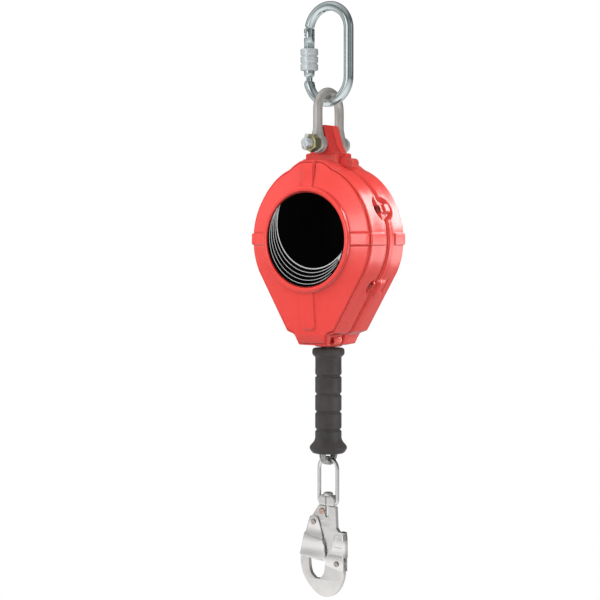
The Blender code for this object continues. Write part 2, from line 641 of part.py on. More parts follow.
def rubber_grip():
    profile = [(15.6, GRIP_TOP), (16.8, -348.4), (16.8, -353.4), (13.9, -356.6)]
    for z in GRIP_GROOVES:
        profile += [(13.7, z + 2.4), (12.0, z + 0.8), (12.0, z - 0.8), (13.7, z - 2.4)]
    profile += [(14.0, -441.0), (17.4, -446.5), (19.3, -449.6), (19.3, -451.6)]
    # bottom edge, then back up the bore
    profile += [(16.4, GRIP_BOTTOM), (14.6, GRIP_BOTTOM), (14.6, -443.0), (5.9, -440.8),
                (5.9, -406.0), (3.0, -403.0), (3.0, GRIP_TOP)]
    turned("rubber_grip", RUBBER, profile, axis="Z", steps=16, closed=True)


cyl("wire_rope", ROPE, ROPE_R, ROPE_BOTTOM, ROPE_TOP, (0, 0), 12, axis="Z")
rubber_grip()
tube("ferrule", STEEL, outer=5.5, inner=2.75, low=-440.0, high=-407.5, steps=14,
     at=(0, 0, 0), axis="Z")
rod("rope_eye", ROPE,
    in_yz([(-2.3, -441.4)] + arc(0, EYE_Z, 10.5, 120.0, 420.0, 16) + [(2.3, -441.4)]),
    1.9, resolution=1)
turned("thimble", STEEL,
       [(12.0, 3.3), (12.0, 2.5), (8.4, 2.3), (8.4, -2.3), (12.0, -2.5), (12.0, -3.3),
        (8.6, -3.3), (7.4, 0.0), (8.6, 3.3)],
       (0, 0, EYE_Z), axis="X", steps=20, closed=True)

# ---------------------------------------------------------------- swivel link
LINK_TOP = -461.5      # centre line at the top
LINK_HALF_W = 11.5
LINK_R = 2.0
BLOCK_Z0, BLOCK_Z1 = -511.0, -501.0


def swivel_link():
    """Wire bow joined to a bored block that takes the swivel stud."""
    foot_z = BLOCK_Z0 + 4.0
    path = ([(-LINK_HALF_W, foot_z)]
            + arc(0, LINK_TOP - LINK_HALF_W, LINK_HALF_W, 180, 0, 12) + [(LINK_HALF_W, foot_z)])
    link = meshed(rod("swivel_link", STAMPED, in_xz(path), LINK_R))
    block = box("cut_link_block", STAMPED, (-13.6, -4.6, BLOCK_Z0), (13.6, 4.6, BLOCK_Z1), CUTTERS)
    bevel = block.modifiers.new("round", "BEVEL")
    bevel.width = 1.2 * MM
    bevel.segments = 1
    boolean(link, block, JOIN)
    cut_cyl(link, "cut_link_bore", 3.4, -520, -495, (0, 0), 16, axis="Z")


swivel_link()

# ---------------------------------------------------------------- hook
HOOK_Y = 2.5           # half thickness of the plate
HOOK_GATE_PIVOT = (-16.3, -529.7)
LEVER_PIVOT = (13.1, -570.8)
BODY_RIVET = (-6.4, -517.6)
HOOK_RIVET_R = 1.9
# (x, z), clockwise from the top left round to the ear that carries the gate
HOOK = [(-10.8, -511.7), (10.8, -511.7), (11.9, -534.0), (15.3, -538.0), (16.6, -556.0),
        (20.2, -571.0), (21.3, -580.0), (19.8, -588.0), (15.2, -596.4), (6.4, -603.0),
        (-3.4, -605.2), (-11.0, -603.6), (-21.4, -597.8), (-29.6, -589.0), (-33.5, -579.0),
        (-34.3, -568.7), (-32.0, -559.5), (-28.6, -554.0), (-25.0, -554.0), (-23.6, -560.0),
        (-23.2, -572.0), (-21.0, -583.6), (-15.5, -589.0), (-9.5, -589.0), (-4.6, -583.4),
        (-2.8, -573.0), (-3.4, -557.0), (-5.0, -542.0), (-9.0, -537.6)]
HOOK_EAR_R = 6.4
HOOK_EAR_DEG = (-60, -90, -120, -150, -180, -210, -235)


def rivet_hole(at):
    return circle(*at, HOOK_RIVET_R + GAP, 12)


def hook_plate():
    ear = [(HOOK_GATE_PIVOT[0] + HOOK_EAR_R * math.cos(math.radians(a)),
            HOOK_GATE_PIVOT[1] + HOOK_EAR_R * math.sin(math.radians(a))) for a in HOOK_EAR_DEG]
    holes = [rivet_hole(at) for at in (HOOK_GATE_PIVOT, LEVER_PIVOT, BODY_RIVET)]
    hook = meshed(plate("hook_plate", STAMPED, HOOK + ear, -HOOK_Y, HOOK_Y, holes))
    apply_box(hook, "cut_hook_slot", (-2.3, -6, -523.4), (2.3, 6, -505.0))   # for the stud


def hook_rivet(name, mat, at, seat):
    """Rivet along Y with a domed head outside +seat and -seat."""
    half = [(0, seat + 1.1), (2.2, seat + 0.9), (3.1, seat), (HOOK_RIVET_R, seat)]
    turned(name, mat, half + [(r, -h) for r, h in reversed(half)], (at[0], 0, at[1]), steps=10)


def folded(name, outline, inner_cut, pivot, wide=None, wide_cut=None):
    """Folded sheet piece: two cheeks over the plate, joined by the fold that the inner cut leaves.

    wide is the part of the cheeks that is set outwards, so that it passes over a neighbour, and
    wide_cut hollows it.
    """
    obj = meshed(plate(name, STAMPED, outline, -4.0, 4.0, [rivet_hole(pivot)], origin=pivot))
    if wide:
        apply_plate(obj, f"cut_{name}_wide", wide, -5.5, 5.5, JOIN)
    apply_plate(obj, f"cut_{name}", inner_cut, -2.8, 2.8)
    if wide:
        apply_plate(obj, f"cut_{name}_wide_inside", wide_cut, -4.3, 4.3)


turned("swivel_stud", STAMPED,
       [(0, -497.6), (3.8, -497.6), (5.0, -498.6), (5.0, -500.6), (3.05, -500.6), (3.05, -511.3),
        (2.0, -511.5), (2.0, -523.0), (0, -523.0)], axis="Z", steps=14)
hook_plate()
hook_rivet("hook_gate_rivet", STAMPED, HOOK_GATE_PIVOT, seat=4.4)
hook_rivet("lever_rivet", STAMPED, LEVER_PIVOT, seat=4.4)
hook_rivet("body_rivet", COPPER, BODY_RIVET, seat=2.8)
folded("hook_gate",
       outline=[(-10.4, -526.5), (-7.6, -534.5), (-5.0, -545.0), (-4.3, -556.0), (-6.6, -566.5),
                (-9.0, -566.8), (-26.0, -565.4), (-33.4, -564.6), (-31.2, -556.0),
                (-27.6, -541.0), (-24.8, -532.0), (-22.4, -525.4), (-17.6, -523.0),
                (-12.6, -523.6)],
       inner_cut=[(0, -520.0), (0, -575.0), (-40.0, -575.0), (-40.0, -549.5), (-28.6, -549.5),
                  (-25.7, -538.5), (-25.0, -536.4), (-40.0, -536.4), (-40.0, -520.0)],
       pivot=HOOK_GATE_PIVOT,
       wide=[(-27.2, -542.0), (-5.4, -547.6), (-4.7, -556.0), (-6.9, -566.1), (-9.2, -566.4),
             (-26.0, -565.0), (-32.9, -564.2), (-30.8, -556.0)],
       wide_cut=[(0, -552.2), (0, -577.0), (-42.0, -577.0), (-42.0, -549.7), (-28.3, -549.7),
                 (-27.2, -545.3)])
folded("lock_lever",
       outline=[(15.8, -537.2), (22.6, -537.6), (23.4, -545.0), (23.8, -577.6), (22.0, -578.4),
                (-1.2, -573.4), (-1.4, -566.0), (7.5, -556.0), (9.0, -546.0), (11.0, -540.0)],
       inner_cut=[(22.2, -530.0), (22.4, -563.5), (30.0, -563.5), (30.0, -590.0),
                  (-10.0, -590.0), (-10.0, -530.0)],
       pivot=LEVER_PIVOT)
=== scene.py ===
"""Looks of a self-retracting lifeline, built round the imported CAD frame.

It hangs along Z: carabiner and shackle above the round casing, then the wire rope, the hand
grip and the swivel hook. The drum axis lies along Y, the front faces -Y and X is to the right.
Lengths in the mesh code are millimetres; new_mesh() turns them into metres.
"""
import math
import bmesh
import bpy
import numpy as np
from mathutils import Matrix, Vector
from mathutils.geometry import tessellate_polygon


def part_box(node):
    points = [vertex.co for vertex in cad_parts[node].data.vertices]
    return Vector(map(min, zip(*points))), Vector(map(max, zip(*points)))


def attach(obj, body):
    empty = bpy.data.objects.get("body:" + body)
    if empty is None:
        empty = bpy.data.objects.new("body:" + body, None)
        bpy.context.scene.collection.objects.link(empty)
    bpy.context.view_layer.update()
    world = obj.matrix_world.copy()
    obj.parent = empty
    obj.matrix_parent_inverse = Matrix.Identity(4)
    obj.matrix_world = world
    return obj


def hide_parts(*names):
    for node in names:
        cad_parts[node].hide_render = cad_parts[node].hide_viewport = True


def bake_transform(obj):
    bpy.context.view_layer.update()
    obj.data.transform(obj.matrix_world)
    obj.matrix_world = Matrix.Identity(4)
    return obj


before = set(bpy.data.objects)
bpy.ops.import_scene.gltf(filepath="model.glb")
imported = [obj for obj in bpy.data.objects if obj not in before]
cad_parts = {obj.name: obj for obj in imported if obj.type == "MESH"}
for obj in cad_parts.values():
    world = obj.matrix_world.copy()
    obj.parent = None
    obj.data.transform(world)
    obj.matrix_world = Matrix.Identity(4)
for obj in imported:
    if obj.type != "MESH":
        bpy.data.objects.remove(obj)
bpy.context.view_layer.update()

MM = 0.001
TAU = 2 * math.pi
scene = bpy.context.scene


def lo_hi(node):
    low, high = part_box(node)
    return np.array(low) / MM, np.array(high) / MM


def centre(node):
    low, high = lo_hi(node)
    return (low + high) / 2


# ================================================================ places taken from the frame
PLATE_LO, PLATE_HI = lo_hi("front_plate")
DRUM_Z = centre("front_plate")[2]
PIN_Z = centre("shackle_bolt")[2]
EYE_Z = centre("thimble")[2]
GATE_PIVOT = centre("gate_rivet")
HOOK_GATE_PIVOT = centre("hook_gate_rivet")
LEVER_PIVOT = centre("lever_rivet")
BODY_RIVET = centre("body_rivet")
SLEEVE_LO, SLEEVE_HI = lo_hi("screw_sleeve")
GRIP_LO, GRIP_HI = lo_hi("rubber_grip")
SIDES = ("left", "right")
SCREWS = {(k, side): lo_hi(f"case_screw_{k}_{side}") for k in range(1, 5) for side in SIDES}


# ================================================================ materials
class Shader:
    """A node tree with short calls for the nodes used here."""

    def __init__(self, tree, textured=True):
        self.tree = tree
        self.vector = self.coords() if textured else None

    def fill(self, node, inputs):
        """Link or set the inputs of a node."""
        for key, value in inputs.items():
            socket = node.inputs[key]
            if isinstance(value, bpy.types.NodeSocket):
                self.tree.links.new(value, socket)
            elif socket.type == "RGBA":
                socket.default_value = (*value, 1.0)
            else:
                socket.default_value = value

    def add(self, kind, inputs=None, output=0, **settings):
        """Make a node and give back one of its outputs."""
        node = self.tree.nodes.new("ShaderNode" + kind)
        for key, value in settings.items():
            setattr(node, key, value)
        self.fill(node, inputs or {})
        return node.outputs[output]

    def surface(self, inputs):
        self.fill(self.tree.nodes["Principled BSDF"], inputs)

    def coords(self, scale=(1, 1, 1)):
        place = self.add("TexCoord", output="Object")
        return self.add("Mapping", {"Vector": place, "Scale": scale})

    def noise(self, scale, detail=4.0, roughness=0.5, vector=None):
        return self.add("TexNoise", {
            "Vector": self.vector if vector is None else vector,
            "Scale": scale, "Detail": detail, "Roughness": roughness})

    def remap(self, value, to=(0.0, 1.0), span=(0.3, 0.7)):
        """Map the span of a value onto another range."""
        return self.add("MapRange", {
            "Value": value, "From Min": span[0], "From Max": span[1],
            "To Min": to[0], "To Max": to[1]})

    def edges(self, span):
        """Mask from the pointiness of the surface."""
        return self.remap(self.add("NewGeometry", output="Pointiness"), span=span)

    def mix(self, factor, first, second):
        return self.add("Mix", {0: factor, 6: first, 7: second}, 2, data_type="RGBA")

    def ramp(self, factor, stops):
        color = self.add("ValToRGB", {"Fac": factor})
        elements = color.node.color_ramp.elements
        while len(elements) < len(stops):
            elements.new(0.5)
        for element, (position, tone) in zip(elements, stops):
            element.position = position
            element.color = (*tone, 1.0)
        return color

    def bump(self, height, strength, distance, normal=None):
        inputs = {"Height": height, "Strength": strength, "Distance": distance}
        if normal is not None:
            inputs["Normal"] = normal
        return self.add("Bump", inputs)

    def math(self, operation, *values):
        return self.add("Math", dict(enumerate(values)), operation=operation)

    def switch(self, factor, first, second):
        return self.add("MixShader", {"Fac": factor, 1: first, 2: second})

    def rays(self):
        """Masks of the camera rays and of the mirror rays."""
        camera_ray = self.add("LightPath", output="Is Camera Ray")
        return camera_ray, camera_ray.node.outputs["Is Glossy Ray"]


def new_material(name):
    material = bpy.data.materials.new(name)
    material.use_nodes = True
    return material, Shader(material.node_tree)


def red_nylon(name="red_moulded_nylon", deep=False):
    """Casing plastic: cloudy red with a faint ripple, a painted highlight on convex edges and painted
    shade in concave creases. deep darkens it all as painted shade.
    """
    material, shader = new_material(name)
    broad = shader.noise(scale=14.0, detail=3.0)
    middle = shader.noise(scale=160.0, detail=5.0, roughness=0.6)
    tone = shader.mix(shader.remap(broad), (0.80, 0.039, 0.031), (0.86, 0.052, 0.040))
    tone = shader.mix(shader.remap(middle, to=(0.0, 0.22)), tone, (0.90, 0.075, 0.058))
    # painted highlight: convex edges made lighter, as where light catches them
    tone = shader.mix(shader.edges(span=(0.53, 0.62)), tone, (0.95, 0.16, 0.12))
    # painted shade: concave creases and grooves made darker
    tone = shader.mix(shader.edges(span=(0.488, 0.43)), tone, (0.42, 0.006, 0.006))
    # painted shade: deep gives a darker copy of the red, for the shaded front of the lug
    if deep:
        tone = shader.mix(shader.remap(broad, to=(0.38, 0.44)), tone, (0.42, 0.005, 0.005))
    roughness = shader.remap(shader.noise(scale=420.0), to=(0.27, 0.37))
    grain = shader.noise(scale=2600.0, detail=2.0, roughness=0.4)
    ripple = shader.noise(scale=70.0, detail=2.0, roughness=0.4)
    normal = shader.bump(ripple, strength=0.12, distance=0.0006)
    shader.surface({
        "Base Color": tone, "Roughness": roughness,
        "Normal": shader.bump(grain, strength=0.10, distance=0.00005, normal=normal),
        "Coat Weight": 0.22, "Coat Roughness": 0.14})
    return material


def metal(name, base, cloud, rough, scratch=(1, 1, 1), depth=0.06, spread=0.08, grain=900.0,
          metallic=1.0):
    """Metal with cloudy tone, uneven polish and fine scratches.

    scratch scales the scratch texture along the axes and depth is its strength; spread is
    the unevenness of the polish and grain the scale of its texture.
    """
    material, shader = new_material(name)
    clouds = shader.remap(shader.noise(scale=120.0, detail=5.0, roughness=0.6))
    fine = shader.noise(scale=grain, detail=3.0)
    lines = shader.noise(scale=500.0, roughness=0.7, vector=shader.coords(scratch))
    normal = shader.bump(lines, strength=depth, distance=0.00008)
    shader.surface({
        "Base Color": shader.mix(clouds, base, cloud), "Metallic": metallic,
        "Roughness": shader.remap(fine, to=(rough, rough + spread)),
        "Normal": shader.bump(fine, strength=0.05, distance=0.00005, normal=normal)})
    return material


def bent_steel():
    """The stamped steel again, with the slight waves that folding leaves across the sheet."""
    wave_turn = TAU / 0.020         # one wave every 20 mm
    wave_start = wave_turn * 0.553
    material, shader = new_material("folded_steel")
    clouds = shader.remap(shader.noise(scale=120.0, detail=5.0, roughness=0.6))
    fine = shader.noise(scale=1300.0, detail=3.0)
    height = shader.add("SeparateXYZ", {0: shader.vector}, "Z")
    wave = shader.math("SINE", shader.math("MULTIPLY_ADD", height, wave_turn, wave_start))
    normal = shader.bump(wave, strength=1.0, distance=0.00030)
    lines = shader.noise(scale=500.0, roughness=0.7, vector=shader.coords((1, 1, 0.3)))
    shader.surface({
        "Base Color": shader.mix(clouds, (0.95, 0.94, 0.925), (0.88, 0.865, 0.855)),
        "Metallic": 1.0, "Roughness": shader.remap(fine, to=(0.20, 0.28)),
        "Normal": shader.bump(lines, strength=0.07, distance=0.00008, normal=normal)})
    return material


def gloss_black():
    material, shader = new_material("gloss_black_plate")
    clouds = shader.noise(scale=60.0, detail=3.0)
    polish = shader.noise(scale=900.0, detail=2.0)
    shader.surface({
        "Base Color": shader.mix(clouds, (0.0004, 0.0004, 0.0005), (0.0010, 0.0010, 0.0011)),
        "Roughness": shader.remap(polish, to=(0.10, 0.16)), "Specular IOR Level": 0.012,
        "Normal": shader.bump(clouds, strength=0.02, distance=0.0003)})
    return material


def silver_print():
    material, shader = new_material("silver_print")
    grain = shader.noise(scale=700.0, detail=3.0)
    stops = [(0.3, (0.50, 0.52, 0.52)), (0.7, (0.82, 0.84, 0.84))]
    shader.surface({
        "Base Color": shader.ramp(grain, stops), "Metallic": 0.35,
        "Roughness": shader.remap(grain, to=(0.25, 0.4))})
    return material


def grip_rubber():
    """Dark rubber with dusty clouds of tone, paler on its convex edges."""
    material, shader = new_material("grip_rubber")
    dust = shader.noise(scale=45.0, detail=5.0, roughness=0.65)
    fine = shader.noise(scale=1400.0, detail=3.0, roughness=0.6)
    tone = shader.mix(shader.remap(dust, span=(0.35, 0.7)),
                      (0.036, 0.032, 0.031), (0.060, 0.054, 0.052))
    tone = shader.mix(shader.edges(span=(0.52, 0.6)), tone, (0.13, 0.12, 0.118))
    lines = shader.noise(scale=40.0, detail=3.0, vector=shader.coords((1, 1, 30)))
    normal = shader.bump(lines, strength=0.05, distance=0.0002)
    shader.surface({
        "Base Color": tone, "Roughness": shader.remap(fine, to=(0.42, 0.58)),
        "Normal": shader.bump(fine, strength=0.25, distance=0.00012, normal=normal),
        "Specular IOR Level": 0.45, "Sheen Weight": 0.08})
    return material


def yellow_zinc():
    material, shader = new_material("yellow_zinc")
    patches = shader.noise(scale=230.0, detail=5.0, roughness=0.6)
    stops = [(0.30, (0.36, 0.33, 0.17)), (0.46, (0.56, 0.51, 0.28)),
             (0.58, (0.64, 0.57, 0.36)), (0.72, (0.46, 0.48, 0.32))]
    shader.surface({
        "Base Color": shader.ramp(patches, stops), "Metallic": 1.0,
        "Roughness": shader.remap(shader.noise(scale=900.0), to=(0.26, 0.36)),
        "Normal": shader.bump(shader.noise(scale=1500.0), strength=0.08, distance=0.00006)})
    return material


def matt(name, first, second, rough, grain=1200.0, depth=0.12):
    """Dull moulded or pressed stuff; grain and depth are the scale and strength of its bumps."""
    material, shader = new_material(name)
    clouds = shader.noise(scale=90.0)
    fine = shader.noise(scale=grain, detail=3.0)
    shader.surface({
        "Base Color": shader.mix(clouds, first, second),
        "Roughness": shader.remap(fine, to=(rough - 0.05, rough + 0.08)),
        "Normal": shader.bump(fine, strength=depth, distance=0.0001)})
    return material


RED = red_nylon()
# darker copy of the casing red: painted shade for the front half of the lug
RED_PAINTED_SHADE = red_nylon("red_moulded_nylon_lug_painted_shade", deep=True)
BLACK = gloss_black()
FOIL = silver_print()
RUBBER = grip_rubber()
ZINC = metal("bright_zinc", (0.78, 0.86, 0.87), (0.68, 0.76, 0.78), rough=0.13,
             scratch=(1, 1, 0.08), depth=0.05, spread=0.07)
SLEEVE_ZINC = metal("bright_zinc_sleeve", (0.88, 0.93, 0.95), (0.78, 0.84, 0.87), rough=0.30,
                    depth=0.08, spread=0.10, metallic=0.68)
SATIN = metal("satin_steel", (0.78, 0.755, 0.72), (0.62, 0.59, 0.555), rough=0.34,
              depth=0.20, spread=0.10, grain=1500.0, metallic=0.75)
STAMPED = metal("stamped_steel", (0.89, 0.88, 0.862), (0.79, 0.775, 0.765), rough=0.27,
                scratch=(1, 1, 0.3), depth=0.07, spread=0.10, grain=1300.0)
BENT = bent_steel()
RIVET = metal("rivet_steel", (0.66, 0.60, 0.57), (0.50, 0.42, 0.39), rough=0.24, depth=0.08)
THIMBLE = metal("thimble_steel", (0.76, 0.77, 0.77), (0.60, 0.61, 0.61), rough=0.20,
                depth=0.10, spread=0.12)
YELLOW = yellow_zinc()
COPPER = metal("copper_rivet", (0.70, 0.50, 0.42), (0.58, 0.40, 0.33), rough=0.22, depth=0.08)
STEEL = metal("machined_steel", (0.58, 0.58, 0.59), (0.50, 0.50, 0.52), rough=0.28,
              scratch=(0.05, 1, 1), depth=0.18)
ALLOY = metal("drum_alloy", (0.66, 0.67, 0.69), (0.58, 0.59, 0.62), rough=0.34,
              scratch=(1, 0.05, 1), depth=0.15)
SPRING = metal("spring_steel", (0.32, 0.36, 0.44), (0.40, 0.36, 0.34), rough=0.25,
               scratch=(1, 0.1, 1), depth=0.12)
BRONZE = metal("bush_bronze", (0.62, 0.44, 0.22), (0.52, 0.36, 0.18), rough=0.30, depth=0.10)
ROPE = metal("galvanised_wire", (0.62, 0.63, 0.64), (0.46, 0.47, 0.48), rough=0.30,
             scratch=(1, 1, 0.2), depth=0.15)
# dark red screw steel, painted shade: the heads take the dark red of the shaded pockets
SCREW_RED_PAINTED_SHADE = metal("screw_steel_painted_shade_red", (0.50, 0.075, 0.065), (0.38, 0.05, 0.045), rough=0.30,
                depth=0.10)
NYLON = matt("black_nylon", (0.018, 0.018, 0.018), (0.03, 0.03, 0.03), rough=0.42)
LINING = matt("brake_lining", (0.16, 0.12, 0.09), (0.10, 0.08, 0.06), rough=0.78, grain=700.0,
              depth=0.5)


# ================================================================ outlines and paths
def fillet(points, radii, steps=6):
    """Closed polyline with its corners rounded to one radius, or to one radius per corner."""
    points = [np.array(p, float) for p in points]
    count, out = len(points), []
    for i, corner in enumerate(points):
        radius = radii[i] if hasattr(radii, "__len__") else radii
        if radius <= 0:
            out.append(corner)
            continue
        back, ahead = points[i - 1] - corner, points[(i + 1) % count] - corner
        back_len, ahead_len = np.linalg.norm(back), np.linalg.norm(ahead)
        back, ahead = back / back_len, ahead / ahead_len
        angle = math.acos(float(np.clip(back @ ahead, -1, 1)))
        if angle > math.pi - 0.01:
            out.append(corner)
            continue
        reach = min(radius / math.tan(angle / 2), back_len * 0.48, ahead_len * 0.48)
        fitted = reach * math.tan(angle / 2)
        middle = (back + ahead) / np.linalg.norm(back + ahead)
        hub = corner + middle * (fitted / math.sin(angle / 2))
        first, last = corner + back * reach - hub, corner + ahead * reach - hub
        turn = math.pi - angle
        for k in range(steps + 1):
            s = k / steps
            blend = first * math.sin((1 - s) * turn) + last * math.sin(s * turn)
            out.append(hub + blend / math.sin(turn))
    return np.array(out)


def resample(points, count=None, step=None, closed=True):
    """Evenly spaced points along a polyline."""
    points = np.asarray(points, float)
    if closed:
        points = np.vstack([points, points[:1]])
    length = np.r_[0, np.cumsum(np.linalg.norm(np.diff(points, axis=0), axis=1))]
    if count is None:
        count = max(3, int(round(length[-1] / step)))
    places = np.linspace(0, length[-1], count, endpoint=not closed)
    return np.stack([np.interp(places, length, column) for column in points.T], axis=1)


def spline(points, closed, steps, sharp=()):
    """Smooth curve through the points, with corners kept at the indices in sharp."""
    p = [np.array(q, float) for q in points]
    count, out = len(p), []
    for i in range(count if closed else count - 1):
        here, there = p[i], p[(i + 1) % count]
        before = p[i - 1] if (closed or i > 0) else here
        after = p[(i + 2) % count] if (closed or i + 2 < count) else there
        gap = np.linalg.norm(there - here)
        leave = (there - before) / max(1e-9, np.linalg.norm(there - before)) * gap
        arrive = (after - here) / max(1e-9, np.linalg.norm(after - here)) * gap
        if i in sharp:
            leave = there - here
        if (i + 1) % count in sharp:
            arrive = there - here
        for k in range(steps):
            t = k / steps
            out.append((2 * t**3 - 3 * t**2 + 1) * here + (t**3 - 2 * t**2 + t) * leave
                       + (-2 * t**3 + 3 * t**2) * there + (t**3 - t**2) * arrive)
    if not closed:
        out.append(p[-1])
    return np.array(out)


def circle(x, z, radius, count, start=0.0):
    angles = start + np.linspace(0, TAU, count, endpoint=False)
    return np.stack([x + radius * np.cos(angles), z + radius * np.sin(angles)], axis=1)


def arc(x, z, radius, start, end, count):
    """Arc of count steps between two angles in degrees."""
    angles = np.radians(np.linspace(start, end, count + 1))
    return np.stack([x + radius * np.cos(angles), z + radius * np.sin(angles)], axis=1)


def rectangle(x0, z0, x1, z1):
    return [(x0, z0), (x1, z0), (x1, z1), (x0, z1)]


def from_drum(points):
    """Move (x, z) points given from the drum centre into the frame."""
    return [(x, DRUM_Z + z) for x, z in points]


def ease(t):
    """Smooth step from 0 to 1."""
    t = np.clip(t, 0.0, 1.0)
    return t * t * (3 - 2 * t)


def outline_normals(points):
    """Unit normals of a closed 2D loop, to the right of its direction of travel."""
    edge = np.roll(points, -1, axis=0) - points
    edge /= np.maximum(1e-9, np.linalg.norm(edge, axis=1))[:, None]
    along = edge + np.roll(edge, 1, axis=0)
    along /= np.maximum(1e-9, np.linalg.norm(along, axis=1))[:, None]
    return np.stack([along[:, 1], -along[:, 0]], axis=1)


# ================================================================ mesh helpers
def shade(obj, sharp):
    obj.data.shade_smooth()
    obj.data.set_sharp_from_angle(angle=math.radians(sharp))


def new_mesh(name, verts, faces, material=None, sharp=40.0):
    """Object from millimetre points. Pieces used up by combine() need no material."""
    mesh = bpy.data.meshes.new(name)
    verts = (np.asarray(verts, float) * MM).tolist()
    mesh.from_pydata(verts, [], [tuple(int(i) for i in face) for face in faces])
    edit = bmesh.new()
    edit.from_mesh(mesh)
    bmesh.ops.remove_doubles(edit, verts=edit.verts, dist=1e-7)
    bmesh.ops.recalc_face_normals(edit, faces=edit.faces[:])
    edit.to_mesh(mesh)
    edit.free()
    obj = bpy.data.objects.new(name, mesh)
    scene.collection.objects.link(obj)
    if material is not None:
        mesh.materials.append(material)
    shade(obj, sharp)
    return obj


def combine(obj, tools, operation="DIFFERENCE", sharp=40.0):
    """Boolean of obj with each tool, applied to obj's mesh. The tools are removed."""
    material = obj.data.materials[0]
    for tool in tools:
        step = obj.modifiers.new("step", "BOOLEAN")
        step.object, step.operation, step.solver = tool, operation, "MANIFOLD"
    bpy.context.view_layer.update()
    graph = bpy.context.evaluated_depsgraph_get()
    mesh = bpy.data.meshes.new_from_object(obj.evaluated_get(graph))
    obj.modifiers.clear()
    old = obj.data
    obj.data = mesh
    mesh.name = obj.name
    bpy.data.meshes.remove(old)
    for tool in tools:
        bpy.data.objects.remove(tool, do_unlink=True)
    mesh.materials.clear()
    mesh.materials.append(material)
    for face in mesh.polygons:
        face.material_index = 0
    shade(obj, sharp)
    return obj


def number_rows(rows):
    """Vertex numbers of each row once the rows are stacked."""
    ids, first = [], 0
    for row in rows:
        ids.append(list(range(first, first + len(row))))
        first += len(row)
    return ids


def grid_faces(rows, closed_rows=False):
    """Faces between neighbouring closed rows; a row of one vertex is a pole."""
    faces = []
    for a, b in list(zip(rows, rows[1:])) + ([(rows[-1], rows[0])] if closed_rows else []):
        count = max(len(a), len(b))
        for i in range(count):
            j = (i + 1) % count
            if len(a) == 1:
                faces.append((a[0], b[j], b[i]))
            elif len(b) == 1:
                faces.append((a[i], a[j], b[0]))
            else:
                faces.append((a[i], a[j], b[j], b[i]))
    return faces


def lathe(name, profile, material=None, at=(0, 0, 0), axis="Z", count=72, ring=False,
          wobble=None, sharp=40.0):
    """Turned body from (radius, height) points; with ring the profile closes on itself."""
    rows = []
    turn = np.linspace(0, TAU, count, endpoint=False)
    for radius, height in profile:
        if radius < 1e-6:
            rows.append(np.array([[0.0, 0.0, height]]))
            continue
        around = wobble(radius, height, turn) if wobble else radius
        rows.append(np.stack([around * np.cos(turn), around * np.sin(turn),
                              np.full(count, height)], axis=1))
    x, y, z = np.vstack(rows).T
    if axis == "Y":
        x, y, z = x, z, -y
    elif axis == "X":
        x, y, z = z, y, -x
    verts = np.stack([x, y, z], axis=1) + np.array(at, float)
    return new_mesh(name, verts, grid_faces(number_rows(rows), ring), material, sharp)


def plate(name, outline, y0, y1, material=None, holes=(), bevel=0.5, steps=3, low_bevel=None):
    """Plate in the XZ plane with rounded edges. low_bevel is the rounding at the lower Y."""
    y0, y1 = min(y0, y1), max(y0, y1)
    low_bevel = bevel if low_bevel is None else low_bevel
    profile = []                  # (offset out of the material, y)
    for k in range(steps + 1):
        a = k / steps * math.pi / 2
        if low_bevel > 0 or k == steps:
            profile.append((-low_bevel * (1 - math.sin(a)), y0 + low_bevel * (1 - math.cos(a))))
    for k in range(steps + 1):
        a = (1 - k / steps) * math.pi / 2
        if bevel > 0 or k == 0:
            profile.append((-bevel * (1 - math.sin(a)), y1 - bevel * (1 - math.cos(a))))
    rows, faces, ends = [], [], ([], [])
    for i, loop in enumerate([outline, *holes]):
        loop = np.asarray(loop, float)
        x, z = loop.T
        doubled_area = float(np.sum(x * np.roll(z, -1) - np.roll(x, -1) * z))
        if (doubled_area > 0) != (i == 0):
            loop = loop[::-1]     # keeps the material on the left
        normals = outline_normals(loop)
        first = len(rows)
        rows += [np.insert(loop + normals * offset, 1, y, axis=1) for offset, y in profile]
        ids = number_rows(rows)[first:]
        faces += grid_faces(ids)
        ends[0].append(ids[0])
        ends[1].append(ids[-1])
    verts = np.vstack(rows)
    for end in ends:
        flat = [i for row in end for i in row]
        loops = [[Vector((verts[i][0], verts[i][2], 0)) for i in row] for row in end]
        faces += [tuple(flat[i] for i in corners) for corners in tessellate_polygon(loops)]
    return new_mesh(name, verts, faces, material)


def rod_tool(radius, start, end, at=(0, 0, 0), axis="Z", count=72):
    """Plain cylinder for combine()."""
    profile = [(0, start), (radius, start), (radius, end), (0, end)]
    return lathe("tool", profile, None, at, axis, count)


def block_tool(outline, y0, y1):
    """Sharp-edged plate for combine()."""
    return plate("tool", outline, y0, y1, bevel=0)


def thread(radius, start, stop, pitch, depth):
    """Profile points of the grooves of a thread, running down from start."""
    points, height = [], start
    while height > stop:
        points += [(radius, height), (radius - depth, height - pitch / 2),
                   (radius, height - pitch)]
        height -= pitch
    return points


def frames(path, closed=False):
    """Tangents and two sets of normals along a path, without twist."""
    if closed:
        tangent = np.roll(path, -1, axis=0) - np.roll(path, 1, axis=0)
    else:
        tangent = np.gradient(path, axis=0)
    tangent /= np.linalg.norm(tangent, axis=1)[:, None]
    guess = np.array([0, 1, 0]) if abs(tangent[0][1]) < 0.9 else np.array([1, 0, 0])

    def square(vector, i):
        """Unit vector at right angles to the path."""
        vector = vector - tangent[i] * (vector @ tangent[i])
        return vector / np.linalg.norm(vector)

    normals = [square(guess, 0)]
    for i in range(1, len(path)):
        normals.append(square(normals[-1], i))
    normals = np.array(normals)
    if closed:
        last = square(normals[-1], 0)
        sine = float(np.cross(last, normals[0]) @ tangent[0])
        twist = math.atan2(sine, float(last @ normals[0]))
        angle = np.linspace(0, twist, len(path))[:, None]
        normals = normals * np.cos(angle) + np.cross(tangent, normals) * np.sin(angle)
    return tangent, normals, np.cross(tangent, normals)


